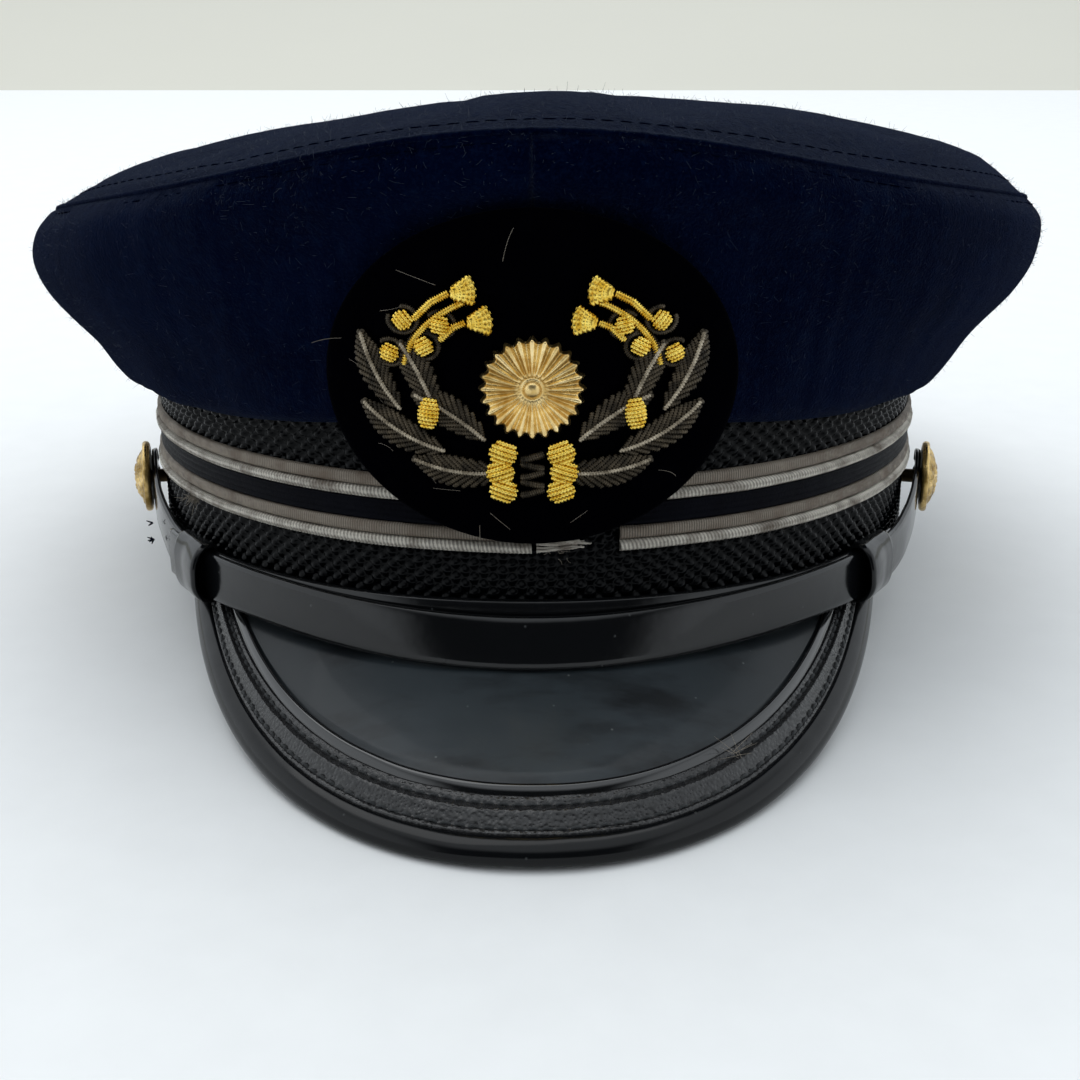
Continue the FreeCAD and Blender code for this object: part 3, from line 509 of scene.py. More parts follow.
# Each material's function, and its settings after its name
RECIPES = {
    "wool_cloth": (wool,),
    "mohair_braid": (braid,),
    "silver_lace": (lace, (0.022, 0.017, 0.013), (0.29, 0.245, 0.195), 0.5, 0.0, 0.3),
    "lace_cord": (lace, (0.12, 0.098, 0.074), (0.98, 0.93, 0.83), 0.74, 1.1, -9.0),
    "ribbed_ribbon": (ribbon,),
    # The last numbers of patent_gloss place the start of the haze past the dark band that is painted
    # reflection of the strap.
    "patent_gloss": (patent, 0.30, 0.9, 0.35, 0.22, 0.06, (0.02, 0.14)),
    "patent_edge": (patent, 0.14, 0.35, 0.25, 0.20, 0.05),
    "strap_patent": (patent, 0.12, 0.4, 0.5, 0.36, 0.08),
    "stitched_leather": (grained, ((0.004, 0.004, 0.0045), (0.018, 0.018, 0.019)),
                         0.6, (0.17, 0.36), 0.22, 0.22, (0.05, 0.052, 0.050)),
    "visor_underlay": (grained, ((0.006, 0.012, 0.009), (0.02, 0.036, 0.027)),
                       0.9, (0.5, 0.75), 0.16, 0.2),
    "sweatband_leather": (grained, ((0.07, 0.034, 0.016), (0.20, 0.105, 0.055)),
                          0.8, (0.42, 0.66), 0.16, 0.4, (0.05, 0.028, 0.016)),
    "reed_piping": (grained, ((0.03, 0.015, 0.008), (0.10, 0.05, 0.028)), 0.6),
    "stiffener_board": (woven, ((0.22, 0.18, 0.12), (0.45, 0.39, 0.28)), 0.9),
    "visor_board": (woven, ((0.02, 0.018, 0.015), (0.07, 0.06, 0.05)), 0.9),
    "grommet_wire": (metal, ((0.25, 0.25, 0.25), (0.6, 0.6, 0.6))),
    "ferrule_brass": (metal, ((0.35, 0.24, 0.09), (0.75, 0.56, 0.25))),
    "stay_plastic": (grained, ((0.55, 0.55, 0.52), (0.75, 0.75, 0.72)), 1.2),
    "felt_pad": (woven, ((0.2, 0.2, 0.19), (0.4, 0.4, 0.38)), 0.8, (0.6, 0.85), 0.3),
    "lining_satin": (woven, ((0.006, 0.008, 0.016), (0.025, 0.03, 0.05)),
                     0.35, (0.3, 0.5), 0.2, 0.06),
    "clear_vinyl": (clear_vinyl,),
    "gilt_metal": (metal, ((0.62, 0.40, 0.12), (1.0, 0.80, 0.42)), (0.20, 0.36)),
    "button_shell": (metal, ((0.22, 0.135, 0.035), (0.86, 0.62, 0.26)), (0.22, 0.42)),
    # Brass darkened nearly to black: painted shade on the button's shank and back plate, which sit in
    # shadow behind the button.
    "button_brass": (metal, ((0.035, 0.024, 0.012), (0.14, 0.10, 0.05)), (0.4, 0.6)),
    "badge_buckram": (woven, ((0.006, 0.006, 0.006), (0.02, 0.02, 0.02)), 0.7),
    "badge_velvet": (velvet,),
    "bullion_dark": (metal, ((0.018, 0.014, 0.009), (0.100, 0.078, 0.050)), (0.32, 0.5), 0.5, 0.75),
    "bullion_rib": (metal, ((0.16, 0.13, 0.09), (0.52, 0.45, 0.34)), (0.3, 0.5), 0.5, 0.8),
    "bullion_gold": (metal, ((0.72, 0.42, 0.03), (1.0, 0.78, 0.18)), (0.14, 0.30), 0.4, 1.0),
    "wool_thread": (woven, ((0.0003, 0.0010, 0.004), (0.001, 0.002, 0.009)),
                    0.3, (0.6, 0.85), 0.0, 0.12, 0.0),
    "wool_nap": (woven, ((0.004, 0.008, 0.024), (0.022, 0.034, 0.065)), 0.3),
    "keeper_patent": (patent, 0.12, 0.5, 0.5, 0.24, 0.06),
    "bead_patent": (patent, 0.10, 0.3, 0.2, 0.6, 0.3),
    "thread": (woven, ((0.008, 0.009, 0.010), (0.040, 0.043, 0.045)), 0.3),
    "pale_fibre": (woven, ((0.12, 0.104, 0.08), (0.36, 0.31, 0.25)), 0.3),
}
MATERIAL = {name: make(name, *settings) for name, (make, *settings) in RECIPES.items()}


# Band -----------------------------------------------------------------------------------------
PIP_WIDTH, PIP_HEIGHT, PIP_RELIEF = 3.5, 2.7, 1.05


def braid_relief(run, z):
    """Height of the strands of a flat braid: each lozenge shows one strand, on top of the other."""
    a = run / PIP_WIDTH + z / PIP_HEIGHT
    b = run / PIP_WIDTH - z / PIP_HEIGHT
    fa, fb = a - np.floor(a) - 0.5, b - np.floor(b) - 0.5
    over = (np.floor(a) + np.floor(b)) % 2 == 0
    across, along = np.where(over, fb, fa), np.where(over, fa, fb)
    strand = np.sqrt(np.clip(1 - (2 * across) ** 2, 0, 1))
    return strand * (0.10 + 0.90 * np.cos(PI * along) ** 0.9)


def make_braid():
    theta = even_angles(-PI, PI, 0.42)[:-1]
    z = np.linspace(0.0, BAND_HEIGHT, 100)
    t, h = np.meshgrid(theta, z, indexing="ij")
    run = band_run(t)
    wobble = 0.35 * cloud(stack(run, h * 2.0, 0 * h), 9.0)
    relief = braid_relief(run + wobble, h + 0.12 * wobble)
    edge = smooth(np.minimum(h, BAND_HEIGHT - h) / 0.9)
    outer = band_at(t, -PIP_RELIEF + (PIP_RELIEF + 0.05) * relief * edge, h)
    inner_z = np.linspace(BAND_HEIGHT, 0.0, 4)
    ti, hi = np.meshgrid(theta, inner_z, indexing="ij")
    inner = band_at(ti, -1.5, hi)
    points = np.concatenate((outer, inner), 1)
    runs = full_turn(theta)
    heap = Heap().grid(points, True, True, uv=(runs, np.concatenate((z, inner_z, [0.0]))))
    return heap.build("braid_band_woven", "mohair_braid",
                      replaces=["braid_band"])


def lace_profile():
    """Outline of a stripe: a flat upper band, a groove and a corded lower edge."""
    z = np.array((-2.3, -2.15, -1.7, -1.15, -0.7, -0.42, -0.25, -0.05, 0.2, 0.6, 1.1, 1.6, 2.05, 2.3))
    out = np.array((0.12, 0.66, 1.10, 1.20, 1.02, 0.55, 0.12, 0.40, 0.80, 0.88, 0.90, 0.86, 0.68, 0.12))
    return z, out


def add_stripe(heaps, middle, start, stop, step=0.17):
    """A stripe from one angle to another: its flat band, and the twisted cord at its lower edge."""
    theta = even_angles(start, stop, step)
    z, out = lace_profile()
    corded = z < -0.3
    run = band_run(theta)[:, None]
    ribs = np.cos(2 * PI * (run + 0.9 * z) / 0.74)
    fine = np.cos(2 * PI * run / 0.5 + 2.2 * cloud(stack(run, z * 2, 0 * z), 1.2))
    wobble = cloud(stack(run, z * 0.4, 0 * z), 3.0)
    height = out + np.where(corded, 0.27 * ribs, 0.06 * fine) * (out > 0.3) + 0.05 * wobble
    sway = 0.10 * cloud(stack(run, 0 * z, 5 + 0 * z), 14.0)
    outer = band_at(theta[:, None], height, middle + z + sway)
    split = int(np.argmin(corded))
    for heap, low, high in ((heaps["cord"], 0, split + 1), (heaps["flat"], split, len(z))):
        strip = outer[:, low:high]
        back = band_at(theta[:, None], 0.07, middle + np.array((z[high - 1], z[low]))[None, :])
        points = np.concatenate((strip, back), 1)
        heap.grid(points, False, True, True, uv=(run[:, 0], np.arange(points.shape[1] + 1.0)))


def make_lace():
    upper = math.asin(UPPER_GAP / BAND_X)
    lower = math.asin(LOWER_GAP / BAND_X)
    spans = (("upper_stripe", UPPER_LACE, upper, -upper), ("lower_stripe", LOWER_LACE, lower, -0.002))
    for name, middle, start, stop in spans:
        heaps = {"flat": Heap(), "cord": Heap()}
        add_stripe(heaps, middle, start, PI)
        add_stripe(heaps, middle, -PI, stop)
        heaps["flat"].build(name + "_flat", "silver_lace",
                            replaces=[name])
        heaps["cord"].build(name + "_cord", "lace_cord", slot="silver_lace")


def make_ribbon():
    theta = even_angles(-PI, -math.asin(RIBBON_GAP / BAND_X), 0.8)
    low, high = LOWER_LACE + LACE_WIDTH / 2 + 0.05, UPPER_LACE - LACE_WIDTH / 2 - 0.05
    heap = Heap()
    share = np.linspace(0, 1, 25)
    out = 0.25 + 0.32 * np.abs(np.sin(3.5 * PI * share)) ** 0.6
    out[[0, -1]] = 0.1
    for side in (-1.0, 1.0):
        t = theta * side
        run = band_run(t)[:, None]
        wobble = 0.04 * cloud(stack(run, share * 4, 0 * share), 3.0)
        outer = band_at(t[:, None], out + wobble, low + (high - low) * share)
        back = band_at(t[:, None], 0.06, np.array((high, low))[None, :])
        points = np.concatenate((outer, back), 1)
        heap.grid(points, False, True, True, uv=(run[:, 0], np.arange(points.shape[1] + 1.0)),
                  flip=side < 0)
    heap.build("centre_ribbon_ribbed", "ribbed_ribbon",
               replaces=["centre_ribbon"])


def fibres(heap, centre, count, length, radius, spread, seed, out=(0.0, -1.0, 0.0), curl=0.8):
    """A little bunch of curled loose fibres about a point."""
    rng = np.random.default_rng(seed)
    for _ in range(count):
        start = np.array(centre) + rng.normal(0, spread, 3) * (1, 0.15, 0.6)
        heading = unit(rng.normal(0, 1, 3) * (1, 0.3, 0.8) + 0.4 * np.array(out))
        bend = rng.normal(0, curl, 3) * (1, 0.3, 1)
        t = np.linspace(0, 1, 7)[:, None]
        reach = length * rng.uniform(0.5, 1.2)
        path = start + reach * (t * heading + 0.5 * t * t * bend)
        heap.grid(tube_grid(path, radius * (1 - 0.5 * t[:, 0]), 4, up=(0.1, 1.0, 0.2)),
                  False, True, True)


def make_frayed_ends():
    """The unravelled end of the lower stripe, and a tuft caught in the braid."""
    heap = Heap()
    for k in range(26):
        rng = np.random.default_rng(100 + k)
        across = rng.uniform(-1.7, 1.5)
        t = np.linspace(0, 1, 30)[:, None]
        length = rng.uniform(6.0, 10.2) * (1 - 0.12 * abs(across))
        x = 0.7 + length * t
        z = LOWER_LACE - 0.5 + across * (1 - 0.65 * t) + 0.22 * np.sin(7 * t + k) * (0.3 + t)
        out = 0.45 + 0.5 * rng.random() * (1 - 0.5 * t) + 0.12 * np.sin(8 * t + 2 * k)
        path = band_at(np.arcsin(x / BAND_X), out, z)[:, 0]
        heap.grid(tube_grid(path, 0.27 * (1 - 0.35 * t[:, 0]), 7, pitch=0.6, depth=0.25),
                  False, True, True)
    heap.build("lower_stripe_frayed_end", "lace_cord", slot="silver_lace")
    tuft = Heap()
    spot = band_at(math.radians(-52.5), 0.4, 13.9)
    fibres(tuft, spot, 60, 1.6, 0.07, 0.60, 12)
    fibres(tuft, band_at(0.045, 0.4, 15.1), 16, 1.4, 0.05, 1.4, 13)
    tuft.build("caught_fibres", "pale_fibre", slot="silver_lace")
    ends = Heap()
    for angle, z, count in ((-66.0, -0.6, 7), (-65.5, 3.4, 2)):
        fibres(ends, band_at(math.radians(angle), 4.4, z), count, 1.1, 0.24, 0.16, 19,
               (-3.0, -0.6, -0.2), 0.2)
    ends.build("strap_thread_ends", "wool_thread", "chin_strap", "strap_patent")


# Crown ----------------------------------------------------------------------------------------
SECTION_STEPS = 56
FULLER_RIGHT, WIDER_RIGHT, NARROWER_LEFT = 0.10, 2.3, 0.6
HIGHER_RIGHT, SIDE_TILT, ROLL_LIFT = 2.3, 0.012, 1.2
PUCKER_PITCH = 3.1
TOPSTITCH = (2.2, 0.9, 0.13, 0.6)       # stitch length, gap, thread radius, share sunk in
WALL_HAIRS, TIP_HAIRS = 5200, 4200


def section_curve(count):
    """Smooth curve through the crown's section rows: share of height, overhang beside, in front."""
    rows = CROWN_SECTION
    ahead = np.vstack((2 * rows[0] - rows[1], rows, 2 * rows[-1] - rows[-2]))
    place = np.linspace(0, len(rows) - 1, count)
    cell = np.minimum(place.astype(int), len(rows) - 2)
    t = (place - cell)[:, None]
    p0, p1, p2, p3 = (ahead[cell + k] for k in range(4))
    return 0.5 * (2 * p1 + (p2 - p0) * t + (2 * p0 - 5 * p1 + 4 * p2 - p3) * t ** 2
                  + (3 * p1 - p0 - 3 * p2 + p3) * t ** 3)


def crown_point(theta, column):
    """Outside of the crown wall at angles theta and curve columns, in millimetres."""
    curve = section_curve(SECTION_STEPS)
    top = SECTION_STEPS - 1.0
    fuller = 1 + FULLER_RIGHT * smooth(np.sin(theta))
    share, beside, front = (np.interp(column, np.arange(SECTION_STEPS), curve[:, k])
                            for k in range(3))
    beside = np.interp(top * (column / top) ** fuller, np.arange(SECTION_STEPS), curve[:, 1])
    beside = beside + WIDER_RIGHT * smooth((share - 0.7) / 0.3) * smooth(np.sin(theta) * 1.4)
    beside = beside - NARROWER_LEFT * smooth(share / 0.5) * smooth(-np.sin(theta) * 1.4)
    peak = np.exp(-(theta / PEAK_ANGLE) ** 2)
    flat = np.exp(-(theta / FLAT_ANGLE) ** 4)
    low = ROLL_HEIGHT + ROLL_LIFT + (ROLL_RISE - ROLL_LIFT) * peak
    seam = (SEAM_HEIGHT + SEAM_SLOPE * (BAND_Y + CROWN_SECTION[-1][1]) * np.cos(theta)
            + FRONT_PEAK * peak)
    points = band_at(theta, beside + (front - beside) * flat, low + (seam - low) * share)
    points[..., 2] += SIDE_TILT * points[..., 0] * share
    return points


def normals_of(points):
    du = np.gradient(points, axis=0)
    dv = np.gradient(points, axis=1)
    return unit(np.cross(du, dv))


def wall_relief(points, theta, column):
    """Small folds and puckers of the crown cloth, and the sunk seams between its quarters."""
    run = band_run(theta)
    share = column / (SECTION_STEPS - 1)
    slant = run + share * 9.0 * np.sign(run)
    drag = cloud(stack(slant, share * 6.0, 0 * run), 3.0) * 0.14
    drag += cloud(stack(slant, share * 9.0, 7 + 0 * run), 1.2) * 0.08
    folds = cloud(stack(run * 0.30, share * 2.5, 3 + 0 * run), 4.0) * 0.45
    lumps = cloud(points, 21.0) * 0.5 + cloud(points, 8.0) * 0.12
    pucker = np.cos(2 * PI * run / PUCKER_PITCH) * 0.10 * np.exp(-((share - 0.965) / 0.03) ** 2)
    calm = smooth(share / 0.12) * smooth((1 - share) / 0.05)
    relief = (drag + folds + lumps) * calm + pucker
    for seam in (0.0, PI / 2, -PI / 2, PI, -PI):
        gap = run - band_run(seam)
        relief = relief - 0.42 * np.exp(-(gap / 0.55) ** 2) * calm
        relief = relief + 0.16 * np.exp(-((np.abs(gap) - 2.0) / 1.3) ** 2) * calm
    return relief


def make_quarter(place, start):
    """One wall piece of the crown: a quarter turn from its first angle."""
    theta = even_angles(start, start + PI / 2, 0.75)
    column = np.linspace(0, SECTION_STEPS - 1, 96)
    t, c = np.meshgrid(theta, column, indexing="ij")
    plain = crown_point(t, c)
    normal = normals_of(plain)
    normal *= np.sign(np.sum(normal * outward_at(t), -1).mean())
    relief = wall_relief(plain, t, c)
    outer = plain + normal * relief[..., None]
    inner = (plain - normal * CLOTH)[:, ::-8]
    points = np.concatenate((outer, inner), 1)
    v = np.concatenate((column, np.arange(inner.shape[1]) + 60.0, [80.0]))
    heap = Heap().grid(points, False, True, True, uv=(band_run(theta), v))
    return outward_check(heap.build("crown_" + place, "wool_cloth",
                                    replaces=["crown_quarter_" + place]))


def seam_reach(theta):
    """Distance from the middle to the crown seam, along X and along Y."""
    return crown_point(theta, np.full_like(theta, SECTION_STEPS - 1.0))


def settled(points):
    """Tip points once the cloth has drawn itself tight: a short simulation with its rim pinned."""
    across, inward = 4, 5
    coarse = points[::across, :-1:inward]
    rows, cols = coarse.shape[:2]
    start = in_row(coarse).reshape(-1, 3)
    mesh = bpy.data.meshes.new("tip_cloth_draft")
    mesh.from_pydata(start.tolist(), [], grid_faces(rows, cols, True, False).tolist())
    draft = bpy.data.objects.new("tip_cloth_draft", mesh)
    scene = bpy.context.scene
    scene.collection.objects.link(draft)
    draft.vertex_groups.new(name="rim").add([i * cols for i in range(rows)], 1.0, "REPLACE")
    cloth = draft.modifiers.new("cloth", "CLOTH")
    cloth.settings.vertex_group_mass = "rim"
    cloth.settings.quality = 6
    cloth.settings.mass = 0.15
    cloth.settings.use_pressure = True
    cloth.settings.uniform_pressure_force = 1.5
    cloth.settings.effector_weights.gravity = 0.0
    for frame_number in range(1, 21):
        scene.frame_set(frame_number)
    done = draft.evaluated_get(bpy.context.evaluated_depsgraph_get())
    end = np.empty(len(start) * 3)
    done.data.vertices.foreach_get("co", end)
    scene.frame_set(1)
    bpy.data.objects.remove(draft)
    moved = (end.reshape(-1, 3) - start) / MM
    moved = stack(moved[:, 0], moved @ BACK, moved @ UP).reshape(rows, cols, 3)
    size = np.linalg.norm(moved, axis=-1, keepdims=True)
    moved *= np.minimum(1.0, SETTLING_CAP / np.maximum(size, 1e-9))
    u, v = np.arange(points.shape[0]) / across, np.arange(points.shape[1]) / inward
    wide = np.stack([[np.interp(v, np.arange(cols), moved[i, :, k]) for k in range(3)]
                     for i in range(rows)])
    wide = np.concatenate((wide, wide[:1]))
    low = np.minimum(u.astype(int), rows - 1)
    part = (u - low)[:, None, None]
    blend = wide[low] * (1 - part) + wide[low + 1] * part
    return points + blend.transpose(0, 2, 1)


def make_tip():
    theta = even_angles(-PI, PI, 1.6)[:-1]
    share = 1 - np.linspace(0, 1, 90) ** 1.4
    edge = seam_reach(theta)[:, None]
    s = share[None, :, None]
    flat = edge * s
    lift = TIP_DOME * (1 - share ** 6.5)[None, :, None]
    middle = SEAM_HEIGHT + SIDE_TILT * flat[..., :1]
    height = middle - SEAM_SLOPE * flat[..., 1:2]
    rim = edge[..., 2:3] - (SEAM_HEIGHT + SIDE_TILT * edge[..., :1] - SEAM_SLOPE * edge[..., 1:2])
    lopsided = HIGHER_RIGHT * smooth((flat[..., :1] + 30) / 95) * smooth((1 - s) / 0.12)
    z = height + rim * s ** 3.0 + lift + lopsided
    points = np.concatenate((flat[..., :2], z), -1)
    run = band_run(theta)[:, None]
    calm = smooth((1 - share) / 0.02)[None, :]
    relief = (0.5 * cloud(points, 24.0) + 0.12 * cloud(points, 7.0)) * calm
    relief += 0.10 * np.cos(2 * PI * run / PUCKER_PITCH) * np.exp(-((share[None, :] - 0.985) / 0.012) ** 2)
    sag = -1.5 * smooth((0.80 - share) / 0.5)[None, :]
    points[..., 2] += relief + sag
    return settled(points), theta, share


def make_tip_cloth(points, theta, share):
    under = points[:, ::-1].copy()
    under[..., 2] -= CLOTH
    under[:, -1] = points[:, 0] - (0, 0, CLOTH)
    loop = np.concatenate((points, under), 1)
    runs = full_turn(theta)
    v = np.concatenate((100 * (1 - share), 200 + 100 * share, [300.0]))
    heap = Heap().grid(loop, True, True, uv=(runs, v))
    obj = heap.build("crown_tip_cloth", "wool_cloth",
                     replaces=["crown_tip"], weld=True)
    return outward_check(obj)


def stitch_row(heap, points, normal, length, gap, radius, sink=0.4):
    """Stitches laid along a line of points, each a short thread that dips into the cloth."""
    run = np.concatenate(([0.0], np.cumsum(np.linalg.norm(np.diff(points, axis=0), axis=1))))
    start = gap / 2
    while start + length < run[-1]:
        s = np.linspace(start, start + length, 7)
        path = np.stack([np.interp(s, run, points[:, k]) for k in range(3)], -1)
        out = np.stack([np.interp(s, run, normal[:, k]) for k in range(3)], -1)
        t = np.linspace(-1, 1, 7)[:, None]
        path = path + out * radius * (1 - sink - 1.4 * t ** 4)
        heap.grid(tube_grid(path, radius, 6, up=out[3], pitch=radius * 2.4, depth=0.10),
                  False, True, True)
        start += length + gap


def make_topstitching(points, tip_theta, share):
    """Rows of stitches on both sides of the crown seam."""
    theta = even_angles(-PI, PI, 1.0)
    heap = Heap()
    column = np.full_like(theta, SECTION_STEPS - 1 - 2.6)
    wall = crown_point(theta, column)
    out = outward_at(theta)
    stitch_row(heap, wall + out * 0.02, out, *TOPSTITCH)
    at = int(np.argmin(np.abs(share - 0.966)))
    ring = points[:, at]
    ring = np.concatenate((ring, ring[:1]))
    up = unit(np.concatenate((outward_at(tip_theta), outward_at(tip_theta[:1]))) * 0.75
              + np.array((0, 0, 0.65)))
    stitch_row(heap, ring, up, *TOPSTITCH)
    heap.build("crown_topstitching", "wool_thread", slot="wool_cloth")


def make_piping():
    """The narrow ridge where the tip and the quarters are sewn together."""
    theta = even_angles(-PI, PI, 1.2)[:-1]
    edge = seam_reach(theta)
    out = outward_at(theta)
    angle = np.arange(8) * 2 * PI / 8
    ripple = 1 + 0.10 * np.cos(2 * PI * band_run(theta) / PUCKER_PITCH)[:, None]
    ring = (np.cos(angle)[None, :, None] * out[:, None]
            + np.sin(angle)[None, :, None] * np.array((0.0, 0.0, 1.0)))
    points = edge[:, None] + 0.62 * ripple[..., None] * ring - out[:, None] * 0.25
    runs = full_turn(theta)
    heap = Heap().grid(points, True, True, uv=(runs, np.arange(9.0)))
    outward_check(heap.build("crown_seam", "wool_cloth"))


def nap_hairs(heap, points, normal, rng, length, lay):
    """Short bent wool hairs that stand a little off a surface at the given points."""
    for at, out in zip(points, normal):
        along = unit(np.cross(out, rng.normal(0, 1, 3)))
        reach = length * rng.uniform(0.5, 1.3)
        t = np.linspace(0, 1, 4)[:, None]
        bend = lay * rng.uniform(0.5, 1.5)
        path = at - 0.1 * out + reach * (t * (along * bend + out * (1 - 0.6 * bend)) * 0.8
                                         + 0.5 * t * t * rng.normal(0, 0.6, 3))
        heap.grid(tube_grid(path, 0.032 * (1 - 0.5 * t[:, 0]), 3, up=(0.31, 0.77, 0.12)),
                  False, True, True)


def make_nap(points):
    """Loose hairs of the wool, on the crown's outline and thinly over its walls."""
    rng = np.random.default_rng(23)
    heap = Heap()
    theta = rng.uniform(-PI, PI, WALL_HAIRS)
    column = (SECTION_STEPS - 1) * rng.uniform(0.03, 1.0, WALL_HAIRS) ** 0.6
    step = 0.004
    here = crown_point(theta, column)
    across = crown_point(theta + step, column) - here
    upward = crown_point(theta, column) - crown_point(theta, np.maximum(column - 0.5, 0.0))
    out = unit(np.cross(across, upward))
    out *= np.sign(np.sum(out * outward_at(theta), -1, keepdims=True))
    nap_hairs(heap, here, out, rng, 1.2, 0.75)
    rows = rng.integers(0, points.shape[0], TIP_HAIRS)
    cols = (rng.random(TIP_HAIRS) ** 1.6 * 62).astype(int) + 1
    normal = normals_of(points)
    normal *= np.sign(normal[..., 2:3])
    nap_hairs(heap, points[rows, cols], normal[rows, cols], rng, 1.25, 0.7)
    heap.build("crown_nap", "wool_nap", slot="wool_cloth")


def make_crown():
    for place, start in (("front_right", 0.0), ("front_left", -PI / 2),
                         ("rear_right", PI / 2), ("rear_left", -PI)):
        make_quarter(place, start)
    tip = make_tip()
    make_tip_cloth(*tip)
    make_piping()
    make_topstitching(*tip)
    make_nap(tip[0])


# Visor ----------------------------------------------------------------------------------------
STITCH_ROWS = (0.20, 0.84)      # shares across the border
BORDER_ROWS = 44

def visor_z(x, y):
    return -VISOR_DROP - VISOR_SLOPE * (-y - BAND_Y) - VISOR_CAMBER * x ** 2


def visor_edge(phi, shape, inset=0.0):
    """Outline of the visor or its bead in plan, moved inwards."""
    half_x, power, reach = shape
    half_y = BAND_Y + reach + VISOR_Y
    x = half_x * np.sign(np.sin(phi)) * np.abs(np.sin(phi)) ** (2 / power)
    y = VISOR_Y - half_y * np.abs(np.cos(phi)) ** (2 / power)
    along = unit(np.gradient(stack(x, y), axis=0))
    return x - along[:, 1] * inset, y + along[:, 0] * inset


def band_root(phi, inset):
    theta = phi * ROOT_SPREAD / VISOR_SPREAD
    p = band_at(theta, -inset, 0.0)
    return p[..., 0], p[..., 1]


def visor_strip(curves, lift, below, rows):
    """Grid between two plan curves; lift is a height over the surface for each share across."""
    near, far = curves
    share = np.linspace(0, 1, rows)[None, :]
    x, y = (near[k][:, None] * (1 - share) + far[k][:, None] * share for k in (0, 1))
    return stack(x, y, visor_z(x, y) + lift(share, x, y) - below)

def visor_layer(name, curves, lift, rows, flat, flat_rows, material, node, slot=None, below=0.0):
    """Closed layer of the visor: a shaped face and a flat one. Gives the shaped face back."""
    face = visor_strip(curves, lift, below, rows)
    other = visor_strip(curves, lambda share, x, y: 0 * x + flat, below, flat_rows)
    heap = Heap().grid(np.concatenate((face, other[:, ::-1]), 1), False, True, True)
    outward_check(heap.build(name, material, slot=slot, replaces=[node]))
    return face

def skin_lift(share, x, y):
    p = stack(x, y, 0 * x)
    return 0.22 * cloud(p, 26.0) + 0.05 * cloud(p, 9.0) - 0.35 * smooth((share - 0.93) / 0.07)

def bead_lift(share, x, y):
    wave = 0.06 * cloud(stack(x, y, 0 * x), 7.0)
    return -0.35 + (1.45 + wave) * np.sqrt(np.clip(1 - (2 * share - 1) ** 2, 0, 1))

def border_lift(share, x, y):
    p = stack(x, y, 0 * x)
    ridge = 0.95 * np.exp(-((share - 0.52) / 0.17) ** 2)
    rows_sunk = sum(0.30 * np.exp(-((share - r) / 0.055) ** 2) for r in STITCH_ROWS)
    return 0.25 + ridge - rows_sunk + 0.10 * cloud(p, 5.0) + 0.05 * cloud(p, 1.6)

def underside_lift(share, x, y):
    p = stack(x, y, 0 * x)
    return -0.75 - 0.10 * cloud(p, 11.0) + 0.35 * smooth((share - 0.94) / 0.06)

def make_visor():
    phi = np.linspace(-VISOR_SPREAD, VISOR_SPREAD, 420)
    edge_in = visor_edge(phi, VISOR_EDGE, BINDING - 0.4)
    bead_in = visor_edge(phi, VISOR_BEAD, 2.0)
    bead_out = visor_edge(phi, VISOR_BEAD, -0.1)
    visor_layer("visor_skin_gloss", (band_root(phi, 3.0), bead_in), skin_lift, 70, -1.0, 10,
                "patent_gloss", "visor_skin")
    visor_layer("visor_bead_roll", (bead_in, bead_out), bead_lift, 15, -0.9, 4,
                "bead_patent", "visor_bead", "patent_edge")
    border = visor_layer("visor_border_leather", (bead_out, edge_in), border_lift, BORDER_ROWS,
                         -0.9, 4, "stitched_leather", "visor_border")
    stitches = Heap()
    up = np.tile(unit(np.array((0.0, -VISOR_SLOPE, 1.0))), (len(phi), 1))
    for row in STITCH_ROWS:
        line = border[:, int(round(row * (BORDER_ROWS - 1)))]
        stitch_row(stitches, line, up, 1.6, 0.8, 0.30, 0.1)
    stitches.build("visor_stitches", "thread", slot="stitched_leather")
    scratch = Heap()
    x, y = (float(a[300]) for a in visor_edge(phi, VISOR_EDGE, 6.5))
    fibres(scratch, (x, y, visor_z(x, y) + 1.2), 9, 4.5, 0.05, 0.8, 61, (0.6, -0.2, 0.5), 0.08)
    scratch.build("visor_lifted_fibres", "pale_fibre", slot="stitched_leather")
    make_binding(phi)
    visor_layer("visor_underlay", (band_root(phi, 2.0), visor_edge(phi, VISOR_EDGE, BINDING - 0.2)),
                underside_lift, 60, 0.0, 4, "visor_underlay", "visor_lining", below=2.35)

def make_binding(phi):
    """Rolled patent edge round the visor."""
    x, y = visor_edge(phi, VISOR_EDGE, BINDING / 2)
    along = unit(np.gradient(stack(x, y), axis=0))
    inward = stack(-along[:, 1], along[:, 0], 0.0 * x)
    centre = stack(x, y, visor_z(x, y) - 1.35)
    angle = np.arange(28) * 2 * PI / 28
    across = np.sign(np.cos(angle)) * np.abs(np.cos(angle)) ** 0.75 * BINDING / 2
    tall = np.sign(np.sin(angle)) * np.abs(np.sin(angle)) ** 0.85 * 1.75
    points = (centre[:, None] + across[None, :, None] * inward[:, None]
              + tall[None, :, None] * np.array((0.0, 0.0, 1.0)))
    grade = -(-VISOR_SLOPE * -inward[:, 1] - 2 * VISOR_CAMBER * x * inward[:, 0])
    points[..., 2] -= grade[:, None] * across[None, :]
    points = points + 0.07 * cloud(points, 6.0)[..., None] * np.array((0, 0, 1.0))
    heap = Heap().grid(points, False, True, True)
    outward_check(heap.build("visor_rolled_edge", "patent_edge",
                             replaces=["visor_binding"]))


# Chin strap -----------------------------------------------------------------------------------
STRAP_WIDE, STRAP_THICK = 9.8, 1.0
BEND_RADIUS, BEND_ANGLE = 45.0, math.radians(14.5)
STRAP_TAIL_Y = -58.0
END_RADIUS = 6.5


